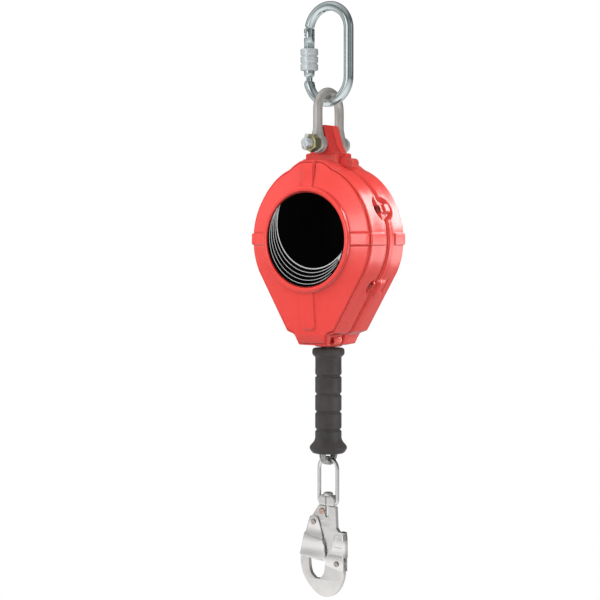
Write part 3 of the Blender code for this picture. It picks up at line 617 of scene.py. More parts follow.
def tube_data(path, radius, count, closed=False, cap=0.6):
    """Vertices and faces of a round rod. cap is the rounding at its ends, in radii."""
    path = np.asarray(path, float)
    tangent, normal, binormal = frames(path, closed)
    radii = np.broadcast_to(radius, len(path))
    turn = np.linspace(0, TAU, count, endpoint=False)[:, None]

    def ring(i, scale=1.0, shift=0.0):
        spokes = normal[i] * np.cos(turn) + binormal[i] * np.sin(turn)
        return path[i] + tangent[i] * shift + spokes * (radii[i] * scale)

    def end(i, inward):
        depth = cap * 0.6
        return [path[i][None]] + [
            ring(i, 1 - depth * (1 - k),
                 inward * radii[i] * depth * (1 - math.sin(math.acos(1 - k))))
            for k in (0.25, 0.6, 0.85)]

    last = len(path) - 1
    if closed:
        rows = [ring(i) for i in range(last + 1)]
    else:
        rows = end(0, 1) + [ring(i) for i in range(1, last)] + end(last, -1)[::-1]
    return np.vstack(rows), grid_faces(number_rows(rows), closed)


def tube(name, path, radius, material, count, closed=False, cap=0.6):
    return new_mesh(name, *tube_data(path, radius, count, closed, cap), material)


def rope(name, path, radius, pitch, count, step, strands=6):
    """Laid wire rope: strands wound round a core along a path."""
    path = resample(path, step=step, closed=False)
    _, normal, binormal = frames(path)
    length = np.r_[0, np.cumsum(np.linalg.norm(np.diff(path, axis=0), axis=1))]
    strand = radius * 0.345
    parts = [tube_data(path, radius * 0.36, count, cap=0.3)]
    for k in range(strands):
        angle = (TAU * (k / strands + length / pitch))[:, None]
        spoke = normal * np.cos(angle) + binormal * np.sin(angle)
        parts.append(tube_data(path + spoke * (radius - strand), strand, count, cap=0.3))
    faces, first = [], 0
    for verts, part_faces in parts:
        faces += [tuple(i + first for i in face) for face in part_faces]
        first += len(verts)
    return new_mesh(name, np.vstack([verts for verts, _ in parts]), faces, ROPE, 60.0)


def register(obj, body, slot, *nodes):
    """Tell the frame what the object rides on and hide the CAD pieces it replaces. slot is not used.
    """
    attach(obj, body)
    if nodes:
        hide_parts(*nodes)


# ================================================================ casing outline
# Casing outlines are (x, z) from the drum centre. side is -1 for the front, 1 for the rear.
OUTLINE_COUNT = 1000
CASE_R = 75.8
RING_IN = 1.2           # how far the visible ring sits inside the nominal one
RIB_OUT = 1.15          # height of the waist rib on the side wall
RING_FOOT = 35.45       # |Y| where the face meets the ring


def case_loop():
    """Casing outline, clockwise from the top: neck, round drum part, stepped outlet."""
    half = [(0.0, 81.0), (13.8, 81.0), (22.6, 76.3)]
    radii = [0.0, 5.0, 6.0]
    for angle in np.linspace(69.0, -26.5, 50):
        radius = CASE_R + 1.8 * float(ease((angle - 30.0) / 35.0))
        turn = math.radians(angle)
        half.append((radius * math.cos(turn), radius * math.sin(turn)))
        radii.append(0.0)
    half += [(31.0, -94.6), (22.0, -97.8), (18.6, -108.7), (0.0, -108.7)]
    radii += [3.4, 2.4, 3.2, 0.0]
    full = half + [(-x, z) for x, z in reversed(half[1:-1])]
    radii += list(reversed(radii[1:-1]))
    return resample(fillet(full, radii, 8), count=OUTLINE_COUNT)


LOOP = case_loop()
LOOP_NORMAL = -outline_normals(LOOP)
LOOP_LEN = np.r_[0, np.cumsum(np.linalg.norm(np.diff(LOOP, axis=0), axis=1))]
LOOP_TOTAL = LOOP_LEN[-1] + np.linalg.norm(LOOP[0] - LOOP[-1])
LOOP_R = np.linalg.norm(LOOP, axis=1)
LOOP_DIR = LOOP / LOOP_R[:, None]


def smooth_loop(points, reach):
    """The outline with its corners eased over about the given length."""
    step = LOOP_TOTAL / len(points)
    span = int(3 * reach / step)
    shifts = range(-span, span + 1)
    weights = np.exp(-0.5 * (np.arange(-span, span + 1) * step / reach) ** 2)
    weights /= weights.sum()
    return sum(weight * np.roll(points, -i, axis=0) for weight, i in zip(weights, shifts))


SOFT = smooth_loop(LOOP, 9.0)
SOFT_NORMAL = smooth_loop(LOOP_NORMAL, 9.0)


def screw_at(k, side_name):
    """(x, z) of a case screw from the drum centre."""
    low, high = SCREWS[(k, side_name)]
    middle = (low + high) / 2
    return np.array([middle[0], middle[2] - DRUM_Z])


def distance_from(point):
    """Signed distance along the outline from the place nearest the point, clockwise."""
    i = int(np.argmin(np.linalg.norm(LOOP - point, axis=1)))
    distance = LOOP_LEN - LOOP_LEN[i]
    return (distance + LOOP_TOTAL / 2) % LOOP_TOTAL - LOOP_TOTAL / 2


# (screw number, distance along the outline from its pocket, with the sign flipped on the left)
POCKETS = []
for k in (2, 3):
    for side_name, sign in (("right", 1), ("left", -1)):
        place = screw_at(k, side_name)
        POCKETS.append((k, distance_from(place / np.linalg.norm(place) * 76.0) * sign))

# screw number: half length, depth, reach in |Y| and softness of the scoop in the front half
FRONT_SCOOPS = {2: (16.5, 8.2, 18.4, 0.20), 3: (13.5, 7.4, 16.5, 0.42)}


# ================================================================ casing surface
def rib_mask(z):
    """1 on the horizontal waist rib, 0 off it."""
    return ease((6.5 - z) / 1.0 + 0.5) * ease((z + 5.3) / 1.0 + 0.5)


LOOP_RIB = rib_mask(LOOP[:, 1])


def wall_offset(y, side):
    """Outward offset of the side wall at each outline point, for one |Y|."""
    offset = RIB_OUT * LOOP_RIB * float(ease((y - 7.6) / 1.6))
    for k, away in POCKETS:
        if side < 0:      # front half: a deep scoop down to the screw seat, with a rim
            half, deep, top, soft = FRONT_SCOOPS[k]
            cut = deep * ease((1 - np.sqrt((away / half) ** 2 + (y / top) ** 2)) / soft)
            seat = float(ease((y - 4.4) / 0.9))
            offset = offset - cut * (0.06 + 0.94 * seat)
            offset = offset + ease((4.8 - np.abs(away)) / 1.2) * (1 - seat) * 1.6
        elif k == 2:      # rear half, upper: a shallower scoop round a raised half-round boss
            rho = np.sqrt((away / 13.5) ** 2 + (y / 13.5) ** 2)
            cut = 4.6 * ease((1 - rho) / 0.22)
            raised = ease((5.2 - np.abs(away)) / 1.3) * float(ease((8.6 - y) / 1.2))
            offset = offset - cut * (1 - raised) + raised * 0.9
        else:             # rear half, lower: a raised tab with a square lower edge, and a slot
            tab = ease((away + 9.5) / 4.0) * ease((9.6 - away) / 0.7)
            tab = tab * float(ease((13.0 - y) / 3.0))
            offset = offset + tab * (1.3 + 1.6 * float(ease((6.0 - y) / 3.0)))
            depth = 1.2 * float(ease((y - 13.2) / 1.0) * ease((17.0 - y) / 1.4))
            offset = offset - ease((9.0 - np.abs(away + 1.0)) / 1.5) * depth
    return offset


def face_offset(x, z):
    """How far the ribs stand proud of the face, along Y."""
    offset = 1.35 * rib_mask(z)
    # upright rib above the ring, rising towards the top
    top = ease((7.0 - np.abs(x)) / 0.9 + 0.5) * ease((z - 40.0) / 4.0)
    offset = np.maximum(offset, top * (2.2 + 2.7 * ease((z - 56.0) / 22.0)))
    # rounded box below the ring, from its half sizes and corner radius
    centre_z, half_x, half_z, corner = -70.0, 8.4, 21.5, 4.5
    over_x = np.abs(x) - half_x + corner
    over_z = np.abs(z - centre_z) - half_z + corner
    outside = np.hypot(np.maximum(over_x, 0), np.maximum(over_z, 0))
    outside = outside + np.minimum(np.maximum(over_x, over_z), 0) - corner
    offset = np.maximum(offset, 2.1 * ease(-outside / 1.1 + 0.45))
    # fine ridge and grooves along the upright rib
    lines = (1.0 * np.exp(-((x + 5.8) / 0.62) ** 2) - 0.7 * np.exp(-((x - 8.0) / 0.6) ** 2)
             - 0.4 * np.exp(-((x + 8.0) / 0.5) ** 2))
    offset = offset + ease((z - 42.0) / 4.0) * lines
    # grooves above and below the waist rib
    grooves = np.exp(-((z - 7.3) / 0.5) ** 2) + np.exp(-((z + 6.1) / 0.5) ** 2)
    return offset - 0.5 * ease((np.abs(x) - 52.0) / 3.0) * grooves


# Side wall at the joint, as (inset, |Y|). The front flange is set back with a steep shoulder.
FRONT_WALL = [(3.9, 0.15), (3.5, 0.45), (3.4, 1.0), (3.45, 1.6), (3.1, 1.8), (2.7, 2.0),
              (2.65, 2.6), (2.7, 3.3), (2.75, 4.0)]
FRONT_WALL += [(2.8 - 0.1 * k, 4.4 + 0.35 * k) for k in range(8)]
FRONT_WALL += [(2.1 * (1 - float(ease((y - 6.9) / 2.0))), y)
               for y in (7.1, 7.4, 7.7, 8.0, 8.3, 8.6, 8.9)]
REAR_WALL = [(1.5, 0.15), (0.95, 0.35), (0.55, 0.7), (0.4, 1.1), (0.35, 1.6), (0.33, 2.2),
             (0.31, 2.8)]
REAR_WALL += [(0.3 - 0.05 * k, 3.4 + 0.5 * k) for k in range(6)]
REAR_WALL += [(0.0, y) for y in (6.4, 6.9, 7.4, 7.9, 8.4, 8.9)]
# edge between wall and face, with its groove: (inset, |Y|)
EDGE = [(0.02, 26.6), (0.10, 27.0), (0.30, 27.35), (0.65, 27.55), (1.05, 27.6), (1.35, 27.45),
        (1.5, 27.0), (1.7, 26.5), (2.05, 26.35), (2.35, 26.6), (2.5, 27.2), (2.55, 28.2),
        (2.7, 28.9), (3.0, 29.3)]
# raised ring round the plate and the seat inside it: (nominal radius, |Y|)
RING = [(55.9, RING_FOOT), (55.3, 35.55), (54.95, 35.8), (54.8, 36.3), (54.75, 37.2),
        (54.75, 38.4), (54.7, 39.2), (54.5, 39.8), (54.1, 40.2), (53.5, 40.42), (52.8, 40.5),
        (51.6, 40.5), (51.0, 40.4), (50.5, 40.1), (50.2, 39.6), (50.1, 39.0), (50.05, 38.3),
        (49.9, 38.0), (49.5, 37.9), (36.0, 37.9), (20.0, 37.9), (7.0, 37.9)]
# inside of the shell: under the face as (radius, |Y|), then the wall as (thickness, |Y|)
INNER_FACE = [(20.0, 34.8), (52.0, 34.8), (55.0, 32.6)]
INNER_WALL = [(4.6, 26.0), (3.9, 18.0), (3.8, 9.5), (5.6, 4.5), (5.6, 0.15)]


def casing_half(name, side):
    """One half of the casing. The front half is the deeper one."""
    if side < 0:
        wall, extra_depth, ring_rise, lean, thinning = FRONT_WALL, 3.4, 1.7, 0.8, 0.10
    else:
        wall, extra_depth, ring_rise, lean, thinning = REAR_WALL, -0.8, 0.0, 0.6, 0.14
    wall = wall + [(lean * float(ease((y - 9.0) / (17.5 + extra_depth))), y)
                   for y in np.arange(9.4, 26.3 + extra_depth, 0.55)]
    rows = []

    def row(points, y):
        """Add a row at |Y|, made thinner towards the outlet."""
        x, z = points.T
        y = y * (1 - thinning * ease((-95.5 - z) / 12.0))
        rows.append(np.stack([x, side * y, DRUM_Z + z], axis=1))

    for inset, y in wall:
        row(LOOP + LOOP_NORMAL * (wall_offset(y, side) - inset)[:, None], y)
    for inset, y in EDGE:
        points = LOOP + LOOP_NORMAL * (wall_offset(27.0, side) - inset - lean)[:, None]
        proud = float(ease((y - 26.0) / 1.3)) if inset < 1.2 else 1.0
        row(points, y + extra_depth + proud * face_offset(*points.T))
    # the face, from the edge to the foot of the ring
    ring_foot = LOOP_DIR * (55.9 - RING_IN)
    edge_inset = 3.2 + lean
    low_y, high_y = 29.4 + extra_depth, RING_FOOT + ring_rise
    for t in np.linspace(0.0, 1.0, 46)[0:-1] ** 0.94:
        soft = float(ease(t / 0.35))
        start = ((LOOP - LOOP_NORMAL * edge_inset) * (1 - soft)
                 + (SOFT - SOFT_NORMAL * edge_inset) * soft)
        rib = LOOP_NORMAL * (RIB_OUT * LOOP_RIB * (1 - ease(t / 0.08)))[:, None]
        points = start * (1 - t) + ring_foot * t + rib
        y = low_y + (high_y - low_y) * (1 - (1 - t) ** 1.08)
        row(points, y + face_offset(*points.T))
    for radius, y in RING:
        points = LOOP_DIR * (radius - RING_IN)
        if radius > 54.6 and y < 39.5:      # the ribs run into the ring's outer side
            y = np.maximum(np.minimum(RING_FOOT + face_offset(*points.T), 39.0), y)
        row(points, y + ring_rise)
    outer_count = len(rows)
    rows += [np.array([[0, side * (37.9 + ring_rise), DRUM_Z]]), np.array([[0, side * 34.8, DRUM_Z]])]
    # the shell is thickened behind the pockets and at the bottom outlet
    back = np.zeros(OUTLINE_COUNT)
    for _, away in POCKETS:
        back = np.maximum(back, 7.5 * ease((23.0 - np.abs(away)) / 5.0))
    outlet = 15.0 * ease((26.0 - np.abs(LOOP[:, 0])) / 5.0) * (LOOP[:, 1] < -60)
    back = np.maximum(back, outlet)
    inner = [(LOOP_DIR * radius, y) for radius, y in INNER_FACE]
    inner += [(LOOP_DIR * (LOOP_R - thick - back)[:, None], y) for thick, y in INNER_WALL]
    for points, y in inner:
        rows.append(np.insert(points + [0, DRUM_Z], 1, side * y, axis=1))
    ids = number_rows(rows)
    faces = grid_faces(ids[:outer_count + 1]) + grid_faces(ids[outer_count + 1:])
    faces += grid_faces([ids[-1], ids[0]])
    return new_mesh(name, np.vstack(rows), faces, RED, 50.0)


# ================================================================ casing pieces
# half of the top lug, tapering upwards, with a corner radius for each point
LUG = [(-20.5, 70.0), (20.5, 70.0), (20.5, 88.7), (14.8, 88.7), (10.0, 97.5), (3.6, 117.4),
       (-3.6, 117.4), (-10.0, 97.5), (-14.8, 88.7), (-20.5, 88.7)]
LUG_RADII = [0, 0, 2.2, 4.6, 10.0, 1.2, 1.2, 10.0, 4.6, 2.2]
# room for the block inside the lug
BLOCK_ROOM = [(-16.9, 62.2), (16.9, 62.2), (16.9, 71.9), (8.4, 75.4), (8.4, 100.2),
              (4.2, 106.4), (-4.2, 106.4), (-8.4, 100.2), (-8.4, 75.4), (-16.9, 71.9)]


def lug_half(name, side):
    loop = fillet(from_drum(LUG), LUG_RADII)
    # the front half gets the darker red, painted shade where the shackle shades the lug
    material, low_bevel, bevel = (RED_PAINTED_SHADE, 2.4, 0.5) if side < 0 else (RED, 0.5, 2.4)
    return plate(name, loop, side * 0.75, side * 13.2, material, bevel=bevel,
                 low_bevel=low_bevel, steps=6)


def boss_tool(x, z, y0, y1, radius, rounding=1.2):
    """Round boss along Y from y0 to its rounded end y1."""
    sign = 1 if y1 > y0 else -1
    profile = [(0, y1), (radius - rounding, y1)]
    profile += [(radius - rounding * (1 - math.sin(a)), y1 - sign * rounding * (1 - math.cos(a)))
                for a in np.linspace(0.3, math.pi / 2, 5)]
    profile += [(radius, y0), (0, y0)]
    return lathe("tool", profile, None, (x, 0, DRUM_Z + z), "Y", 40)


def make_casing(name, side):
    front = side < 0
    half = casing_half(f"casing_{name}", side)
    lug = lug_half(f"casing_lug_{name}", side)
    top_x, top_z = screw_at(1, "right")
    low_x, low_z = screw_at(4, "right")

    adds = []
    for m in (-1, 1):
        adds.append(boss_tool(m * top_x, top_z, side * 0.5, side * (9.4 if front else 13.6), 5.2))
        # the web that carries the boss on the lug foot
        web = from_drum([(m * 14.0, 72.0), (m * 27.6, 70.0), (m * 27.4, 77.0), (m * 19.0, 86.5)])
        adds.append(plate("tool", fillet(web, 1.0, 4), side * 0.7,
                          side * (7.0 if front else 11.0), bevel=0.6))
    combine(lug, adds, "UNION", sharp=50.0)

    room = from_drum(BLOCK_ROOM)
    cuts = [rod_tool(10.0, DRUM_Z - 90, DRUM_Z - 113, count=40), block_tool(room, -10.15, 10.15)]
    lug_cuts = [rod_tool(5.4, 25, -25, (0, 0, PIN_Z), "Y", 40),
                block_tool(room, -10.15, 10.15)]
    for m in (-1, 1):
        if front:        # arched notch in the bottom corner
            arch = [(low_x - 5.4, low_z - 12.0), (low_x - 5.4, low_z + 4.4),
                    (low_x + 14.0, low_z + 4.4), (low_x + 14.0, low_z - 12.0)]
            arch = fillet(from_drum([(m * x, z) for x, z in arch]), [0, 3.6, 0, 0], 8)
            cuts.append(block_tool(arch, -24.6, -5.4))
        else:            # counterbore for the screw head
            lug_cuts.append(rod_tool(4.4, 20, 8.9, (m * top_x, 0, DRUM_Z + top_z), "Y", 32))
    combine(half, cuts, sharp=50.0)
    combine(lug, lug_cuts, sharp=50.0)
    if front:            # ring round each bottom screw
        collar = [(3.2, -5.0), (3.2, -16.0), (3.7, -16.6), (4.4, -16.6), (4.9, -16.0), (4.9, -5.0)]
        rings = [lathe("tool", collar, None, (m * low_x, 0, DRUM_Z + low_z), "Y", 40, ring=True)
                 for m in (-1, 1)]
        combine(half, rings, "UNION", sharp=50.0)
    register(half, "casing", "shell", f"{name}_shell")
    register(lug, "casing", "shell")


def make_seal():
    """The fine strip of plastic that seals the parting line."""
    rows = [np.insert(LOOP - LOOP_NORMAL * inset + [0, DRUM_Z], 1, y, axis=1)
            for y, inset in ((-0.12, 2.4), (-0.12, 1.9), (0.12, 1.9), (0.12, 2.4))]
    faces = grid_faces(number_rows(rows), True)
    register(new_mesh("casing_seal", np.vstack(rows), faces, RED), "casing", "shell")


make_casing("front", -1)
make_casing("rear", 1)
make_seal()

# ---------------------------------------------------------------- round plates, silver rings
PLATE_R = (PLATE_HI[0] - PLATE_LO[0]) / 2 - RING_IN
PRINT_X, PRINT_Z, PRINT_R = 10.4, 16.3, 45.7      # first printed ring, from the drum centre
PRINT_WIDTHS = (1.15, 0.62, 0.55, 0.55, 0.55)


def printed_ring(name, side, face_y, rim, step):
    """One silver ring, cut off by the rim and tapered at its ends."""
    part = step / (len(PRINT_WIDTHS) - 1)
    centre_x, centre_z, radius = PRINT_X - 7.8 * part, PRINT_Z - 13.6 * part, PRINT_R + 1.85 * part
    width = PRINT_WIDTHS[step]
    angles = np.radians(np.linspace(0, 360, 721))
    x, z = centre_x + radius * np.cos(angles), centre_z + radius * np.sin(angles)
    inside = np.hypot(x, z) < rim - width * 0.35
    start = int(np.argmax(~inside))
    kept = np.nonzero(np.roll(inside, -start))[0]
    angles = np.unwrap(np.roll(angles, -start)[kept[0]:kept[-1] + 1])
    count = len(angles)
    taper = ease(np.minimum(np.arange(count), np.arange(count)[::-1]) / 26.0)
    half = width / 2 * (0.35 + 0.65 * taper)
    lines = []
    # cross-section: (part of the half width, height over the plate)
    for across, height in ((-1, -0.05), (-1, 0.04), (-0.6, 0.07), (0.6, 0.07), (1, 0.04), (1, -0.05)):
        reach = radius + across * half
        lines.append(np.stack([-side * (centre_x + reach * np.cos(angles)),
                               np.full(count, face_y + side * height),
                               DRUM_Z + centre_z + reach * np.sin(angles)], axis=1))
    k = len(lines)
    verts = np.stack(lines, axis=1).reshape(-1, 3)
    faces = [(p * k + q, p * k + (q + 1) % k, (p + 1) * k + (q + 1) % k, (p + 1) * k + q)
             for p in range(count - 1) for q in range(k)]
    faces += [tuple(range(k)), tuple((count - 1) * k + q for q in reversed(range(k)))]
    register(new_mesh(f"{name}_ring_{step + 1}", verts, faces, FOIL), "casing", "plate")


def label(name, side, node):
    rise = 1.7 if side < 0 else 0.0
    face_y = side * (39.7 + rise)
    profile = [(0, side * (38.2 + rise)), (PLATE_R, side * (38.2 + rise)),
               (PLATE_R, side * (39.3 + rise)), (PLATE_R - 0.15, side * (39.6 + rise)),
               (PLATE_R - 0.5, face_y), (0, face_y)]
    disc = lathe(name, profile, BLACK, (0, 0, DRUM_Z), "Y", 128)
    register(disc, "casing", "plate", node)
    rim = PLATE_R - 0.25
    for step in range(len(PRINT_WIDTHS)):
        printed_ring(name, side, face_y, rim, step)
    # bright wedge where the rings run together at the rim
    outer = arc(0, 0, rim, -13.0, -38.0, 23)
    start = math.degrees(math.atan2(outer[0][1] - PRINT_Z, outer[0][0] - PRINT_X))
    inner = arc(PRINT_X, PRINT_Z, PRINT_R + 0.2, start, start - 24.0, 19)
    middle = (outer[12] + inner[9]) / 2
    loop = np.vstack([outer[:13], middle, inner[9:0:-1]])
    wedge = plate(f"{name}_wedge", from_drum([(-side * x, z) for x, z in loop]),
                  face_y - side * 0.05, face_y + side * 0.06, FOIL, bevel=0.0)
    register(wedge, "casing", "plate")


label("front_plate_disc", -1, "front_plate")
label("rear_plate_disc", 1, "rear_plate")


# ---------------------------------------------------------------- case screws
def case_screw(k, side_name):
    """Socket screw along Y. The top pair have their heads at the rear, the others in front."""
    low, high = SCREWS[(k, side_name)]
    x, _, z = (low + high) / 2
    head = 1 if k == 1 else -1
    shank, head_r, head_height = 2.0, (high[0] - low[0]) / 2, 3.2
    seat = (high[1] if head > 0 else -low[1]) - head_height
    tip = low[1] if head > 0 else -high[1]
    profile = [(0, seat + head_height), (head_r - 0.6, seat + head_height),
               (head_r - 0.25, seat + 3.1), (head_r, seat + 2.8), (head_r, seat + 0.2),
               (head_r - 0.2, seat), (shank, seat), (shank, seat - 1.5)]
    profile += thread(shank, seat - 1.5, tip + 1.4, pitch=0.7, depth=0.28)
    profile += [(shank - 0.5, tip), (0, tip)]
    profile = [(radius, head * height) for radius, height in profile]
    name = f"case_screw_{k}_{side_name}"
    # the heads are tinted dark red as painted shade, so they sink into the shaded pockets
    screw = lathe(name + "_lacquered", profile, SCREW_RED_PAINTED_SHADE, (x, 0, z), "Y", 36)
    combine(screw, [block_tool(circle(x, z, 2.0, 6), head * (seat + 1.3), head * (seat + 4.0))])
    register(screw, "casing", "black_steel", name)


for k in range(1, 5):
    for side_name in SIDES:
        case_screw(k, side_name)

# ---------------------------------------------------------------- outlet bush and collar
# (radius, drop below the drum centre)
BUSH = [(9.7, 95.0), (9.7, 108.1), (11.2, 108.2), (11.8, 108.5), (12.0, 109.1), (11.7, 109.6),
        (11.0, 109.8), (5.6, 109.8), (4.4, 109.4), (3.6, 108.4), (3.2, 107.0), (3.2, 99.0),
        (3.8, 96.4), (5.0, 95.0)]
COLLAR = [(12.1, 106.0), (14.6, 106.0), (14.6, 109.0), (14.2, 109.8), (13.4, 110.2),
          (12.5, 110.2), (12.1, 109.8)]


def outlet_ring(name, profile, material):
    return lathe(name, [(radius, DRUM_Z - drop) for radius, drop in profile], material, ring=True)


register(outlet_ring("outlet_bush", BUSH, NYLON), "casing", "nylon", "cable_outlet_bush")
register(outlet_ring("casing_outlet_collar", COLLAR, RED), "casing", "shell")

# ================================================================ shackle
SHACKLE_HI = lo_hi("shackle_bow")[1]
LEG_R = 4.8
LEG_Y = SHACKLE_HI[1] - 4.7                # leg centre line
EYE_IN, EYE_OUT = 14.1, 23.4               # flat faces of the eyes, in |Y|


def make_shackle():
    bend_z = SHACKLE_HI[2] - LEG_R - LEG_Y
    path = [(0, -LEG_Y, PIN_Z + 3.0), (0, -LEG_Y, PIN_Z + 20.0)]
    path += [(0, y, z) for y, z in arc(0, bend_z, LEG_Y, 180, 0, 40)]
    path += [(0, LEG_Y, PIN_Z + 20.0), (0, LEG_Y, PIN_Z + 3.0)]
    path = resample(path, step=1.2, closed=False)
    bow = tube("shackle_bow_forged", path, LEG_R, SATIN, 40, cap=0.2)
    # half of an eye as (radius, distance in from its face)
    rounding = [(0, 0), (8.2, 0), (8.9, 0.25), (9.35, 0.8), (9.5, 1.6)]
    # shoulder that blends a leg into its eye: (radius, height over the pin)
    neck = [(0, 19.0), (4.7, 19.0), (5.0, 15.0), (5.9, 10.5), (6.6, 6.0), (6.6, 0), (0, 0)]
    adds, trims = [], []
    for s in (-1, 1):
        eye = [(radius, s * (EYE_OUT - inset)) for radius, inset in rounding]
        eye += [(radius, s * (EYE_IN + inset)) for radius, inset in reversed(rounding)]
        adds.append(lathe("tool", eye, None, (0, 0, PIN_Z), "Y", 64))
        adds.append(lathe("tool", [(radius, PIN_Z + height) for radius, height in neck],
                          None, (0, s * LEG_Y, 0), "Z", 40))
    combine(bow, adds, "UNION")
    # the eyes are flat on both faces
    around_eye = rectangle(-14, PIN_Z - 14, 14, PIN_Z + 9.4)
    for s in (-1, 1):
        trims += [block_tool(around_eye, s * EYE_OUT, s * 27.0),
                  block_tool(around_eye, s * EYE_IN, s * 10.0)]
    trims.append(rod_tool(5.15, 32, -32, (0, 0, PIN_Z), "Y", 48))
    combine(bow, trims)
    register(bow, "shackle", "satin_steel", "shackle_bow")


def make_bolt():
    """Bolt along Y with its head at the rear and a cross hole near its front end."""
    low, high = lo_hi("shackle_bolt")
    shank, head, tip = 4.8, high[1], low[1]
    profile = [(0, head), (4.6, head), (6.6, head - 0.5), (7.7, head - 1.4), (8.2, head - 2.6),
               (8.2, head - 5.1), (7.9, head - 5.5), (shank, head - 5.5), (shank, -26.0)]
    profile += thread(shank, -26.0, -35.8, pitch=1.0, depth=0.22)
    profile += [(shank, -36.4), (shank, tip + 1.3), (shank - 0.35, tip + 0.6),
                (shank - 1.2, tip), (0, tip)]
    bolt = lathe("shackle_bolt_turned", profile, SLEEVE_ZINC, (0, 0, PIN_Z), "Y", 56)
    combine(bolt, [rod_tool(1.35, PIN_Z + 9, PIN_Z - 9, (0, SPLIT_PIN_Y, 0), "Z", 20),
                   block_tool(circle(0, PIN_Z, 3.2, 6), head - 3.0, head + 2)])
    register(bolt, "shackle", "zinc", "shackle_bolt")


def make_nut():
    """Hex nut, chamfered on both faces."""
    low, high = lo_hi("shackle_nut")
    front, rear = low[1], high[1]
    nut = plate("shackle_hex_nut", circle(0, PIN_Z, 9.2, 6, math.pi / 6), front, rear, YELLOW,
                bevel=0)
    dome = [(0, rear), (7.7, rear), (8.3, rear - 0.25), (9.6, rear - 1.2), (9.6, front + 1.2),
            (8.3, front + 0.25), (7.7, front), (0, front)]
    bore = [(0, rear + 1), (5.7, rear + 1), (5.0, rear - 0.8), (5.0, front + 0.8),
            (5.7, front - 1), (0, front - 1)]
    combine(nut, [lathe("tool", dome, None, (0, 0, PIN_Z), "Y", 72)], "INTERSECT")
    combine(nut, [lathe("tool", bore, None, (0, 0, PIN_Z), "Y", 40)])
    register(nut, "shackle", "yellow_zinc", "shackle_nut")


SPLIT_PIN_Y = -38.4
# legs of the split pin: (x, y, height over the bolt axis)
LEG_UNDER_END = [(0.36, SPLIT_PIN_Y, 4.8), (0.36, SPLIT_PIN_Y, -4.9), (0.5, -38.9, -6.1),
                 (0.7, -40.2, -6.6), (0.9, -41.8, -5.6), (1.1, -42.8, -3.4), (1.2, -43.1, -0.6)]
LEG_TO_LEFT = [(-0.36, SPLIT_PIN_Y, 4.8), (-0.36, SPLIT_PIN_Y, -4.9), (-0.8, -38.2, -6.2),
               (-2.0, -38.0, -7.0), (-3.8, -37.9, -6.6), (-5.2, -37.8, -5.0), (-6.0, -37.8, -2.6)]


def make_split_pin():
    """Eye on top, legs through the bolt and bent apart."""
    eye = [(1.5 * math.sin(t), SPLIT_PIN_Y, 6.9 - 1.5 * math.cos(t))
           for t in np.linspace(0.5, TAU - 0.5, 22)]
    path = [(x, y, PIN_Z + z) for x, y, z in LEG_UNDER_END[::-1] + eye + LEG_TO_LEFT]
    path = resample(spline(path, False, 4), step=0.35, closed=False)
    register(tube("split_pin_wire", path, 0.72, SLEEVE_ZINC, 14), "shackle", "zinc", "split_pin")


make_shackle()
make_bolt()
make_nut()
make_split_pin()

# ================================================================ carabiner
CARABINER_LO, CARABINER_HI = lo_hi("carabiner_body")
ROD_R = 5.0
CARABINER_HALF = CARABINER_HI[0] - ROD_R        # half width to the rod's centre line
GATE_X = (SLEEVE_LO[0] + SLEEVE_HI[0]) / 2


def gate_bore(radius):
    return rod_tool(radius, 9, -9, (GATE_PIVOT[0], 0, GATE_PIVOT[2]), "Y", 24)


def make_carabiner():
    top_z = CARABINER_HI[2] - ROD_R - CARABINER_HALF
    low_z = CARABINER_LO[2] + ROD_R + CARABINER_HALF
    path = [(x, 0, z) for x, z in arc(0, top_z, CARABINER_HALF, 168, 0, 60)]
    path += [(x, 0, z) for x, z in arc(0, low_z, CARABINER_HALF, 0, -172, 60)]
    path = resample(path, step=1.1, closed=False)
    # the rod swells into the forged hinge end
    radii = ROD_R + 0.5 * ease((np.linspace(0, 1, len(path)) - 0.955) / 0.03)
    body = tube("carabiner_rod", path, radii, ZINC, 44, cap=0.35)
    tab = [(-28.3, -13.0), (-28.3, -26.8), (-21.6, -26.8), (-21.6, -13.0)]
    pin = [(0, 4.6), (1.2, 4.6), (1.65, 4.1), (1.65, -4.1), (1.2, -4.6), (0, -4.6)]
    combine(body, [plate("tool", fillet(tab, [0, 1.6, 1.6, 0], 5), -1.7, 1.7, bevel=0.4),
                   lathe("tool", pin, None, (-26.6, 0, -23.4), "Y", 24)], "UNION")
    fork = [(-32, -66), (-32, -80.0), (-17, -80.0), (-17, -66)]
    combine(body, [block_tool(fillet(fork, [0, 2.0, 2.0, 0], 5), -2.1, 2.1), gate_bore(1.9),
                   block_tool(rectangle(-6, -3.2, 6, 0), -6, 6)])
    register(body, "carabiner", "zinc", "carabiner_body")

    end = [(0, 5.9), (1.6, 5.8), (2.5, 5.5), (2.8, 5.1), (1.8, 5.0)]
    profile = end + [(radius, -height) for radius, height in end[::-1]]
    rivet = lathe("carabiner_rivet", profile, ZINC, (GATE_PIVOT[0], 0, GATE_PIVOT[2]), "Y", 32)
    register(rivet, "carabiner", "zinc", "gate_rivet")


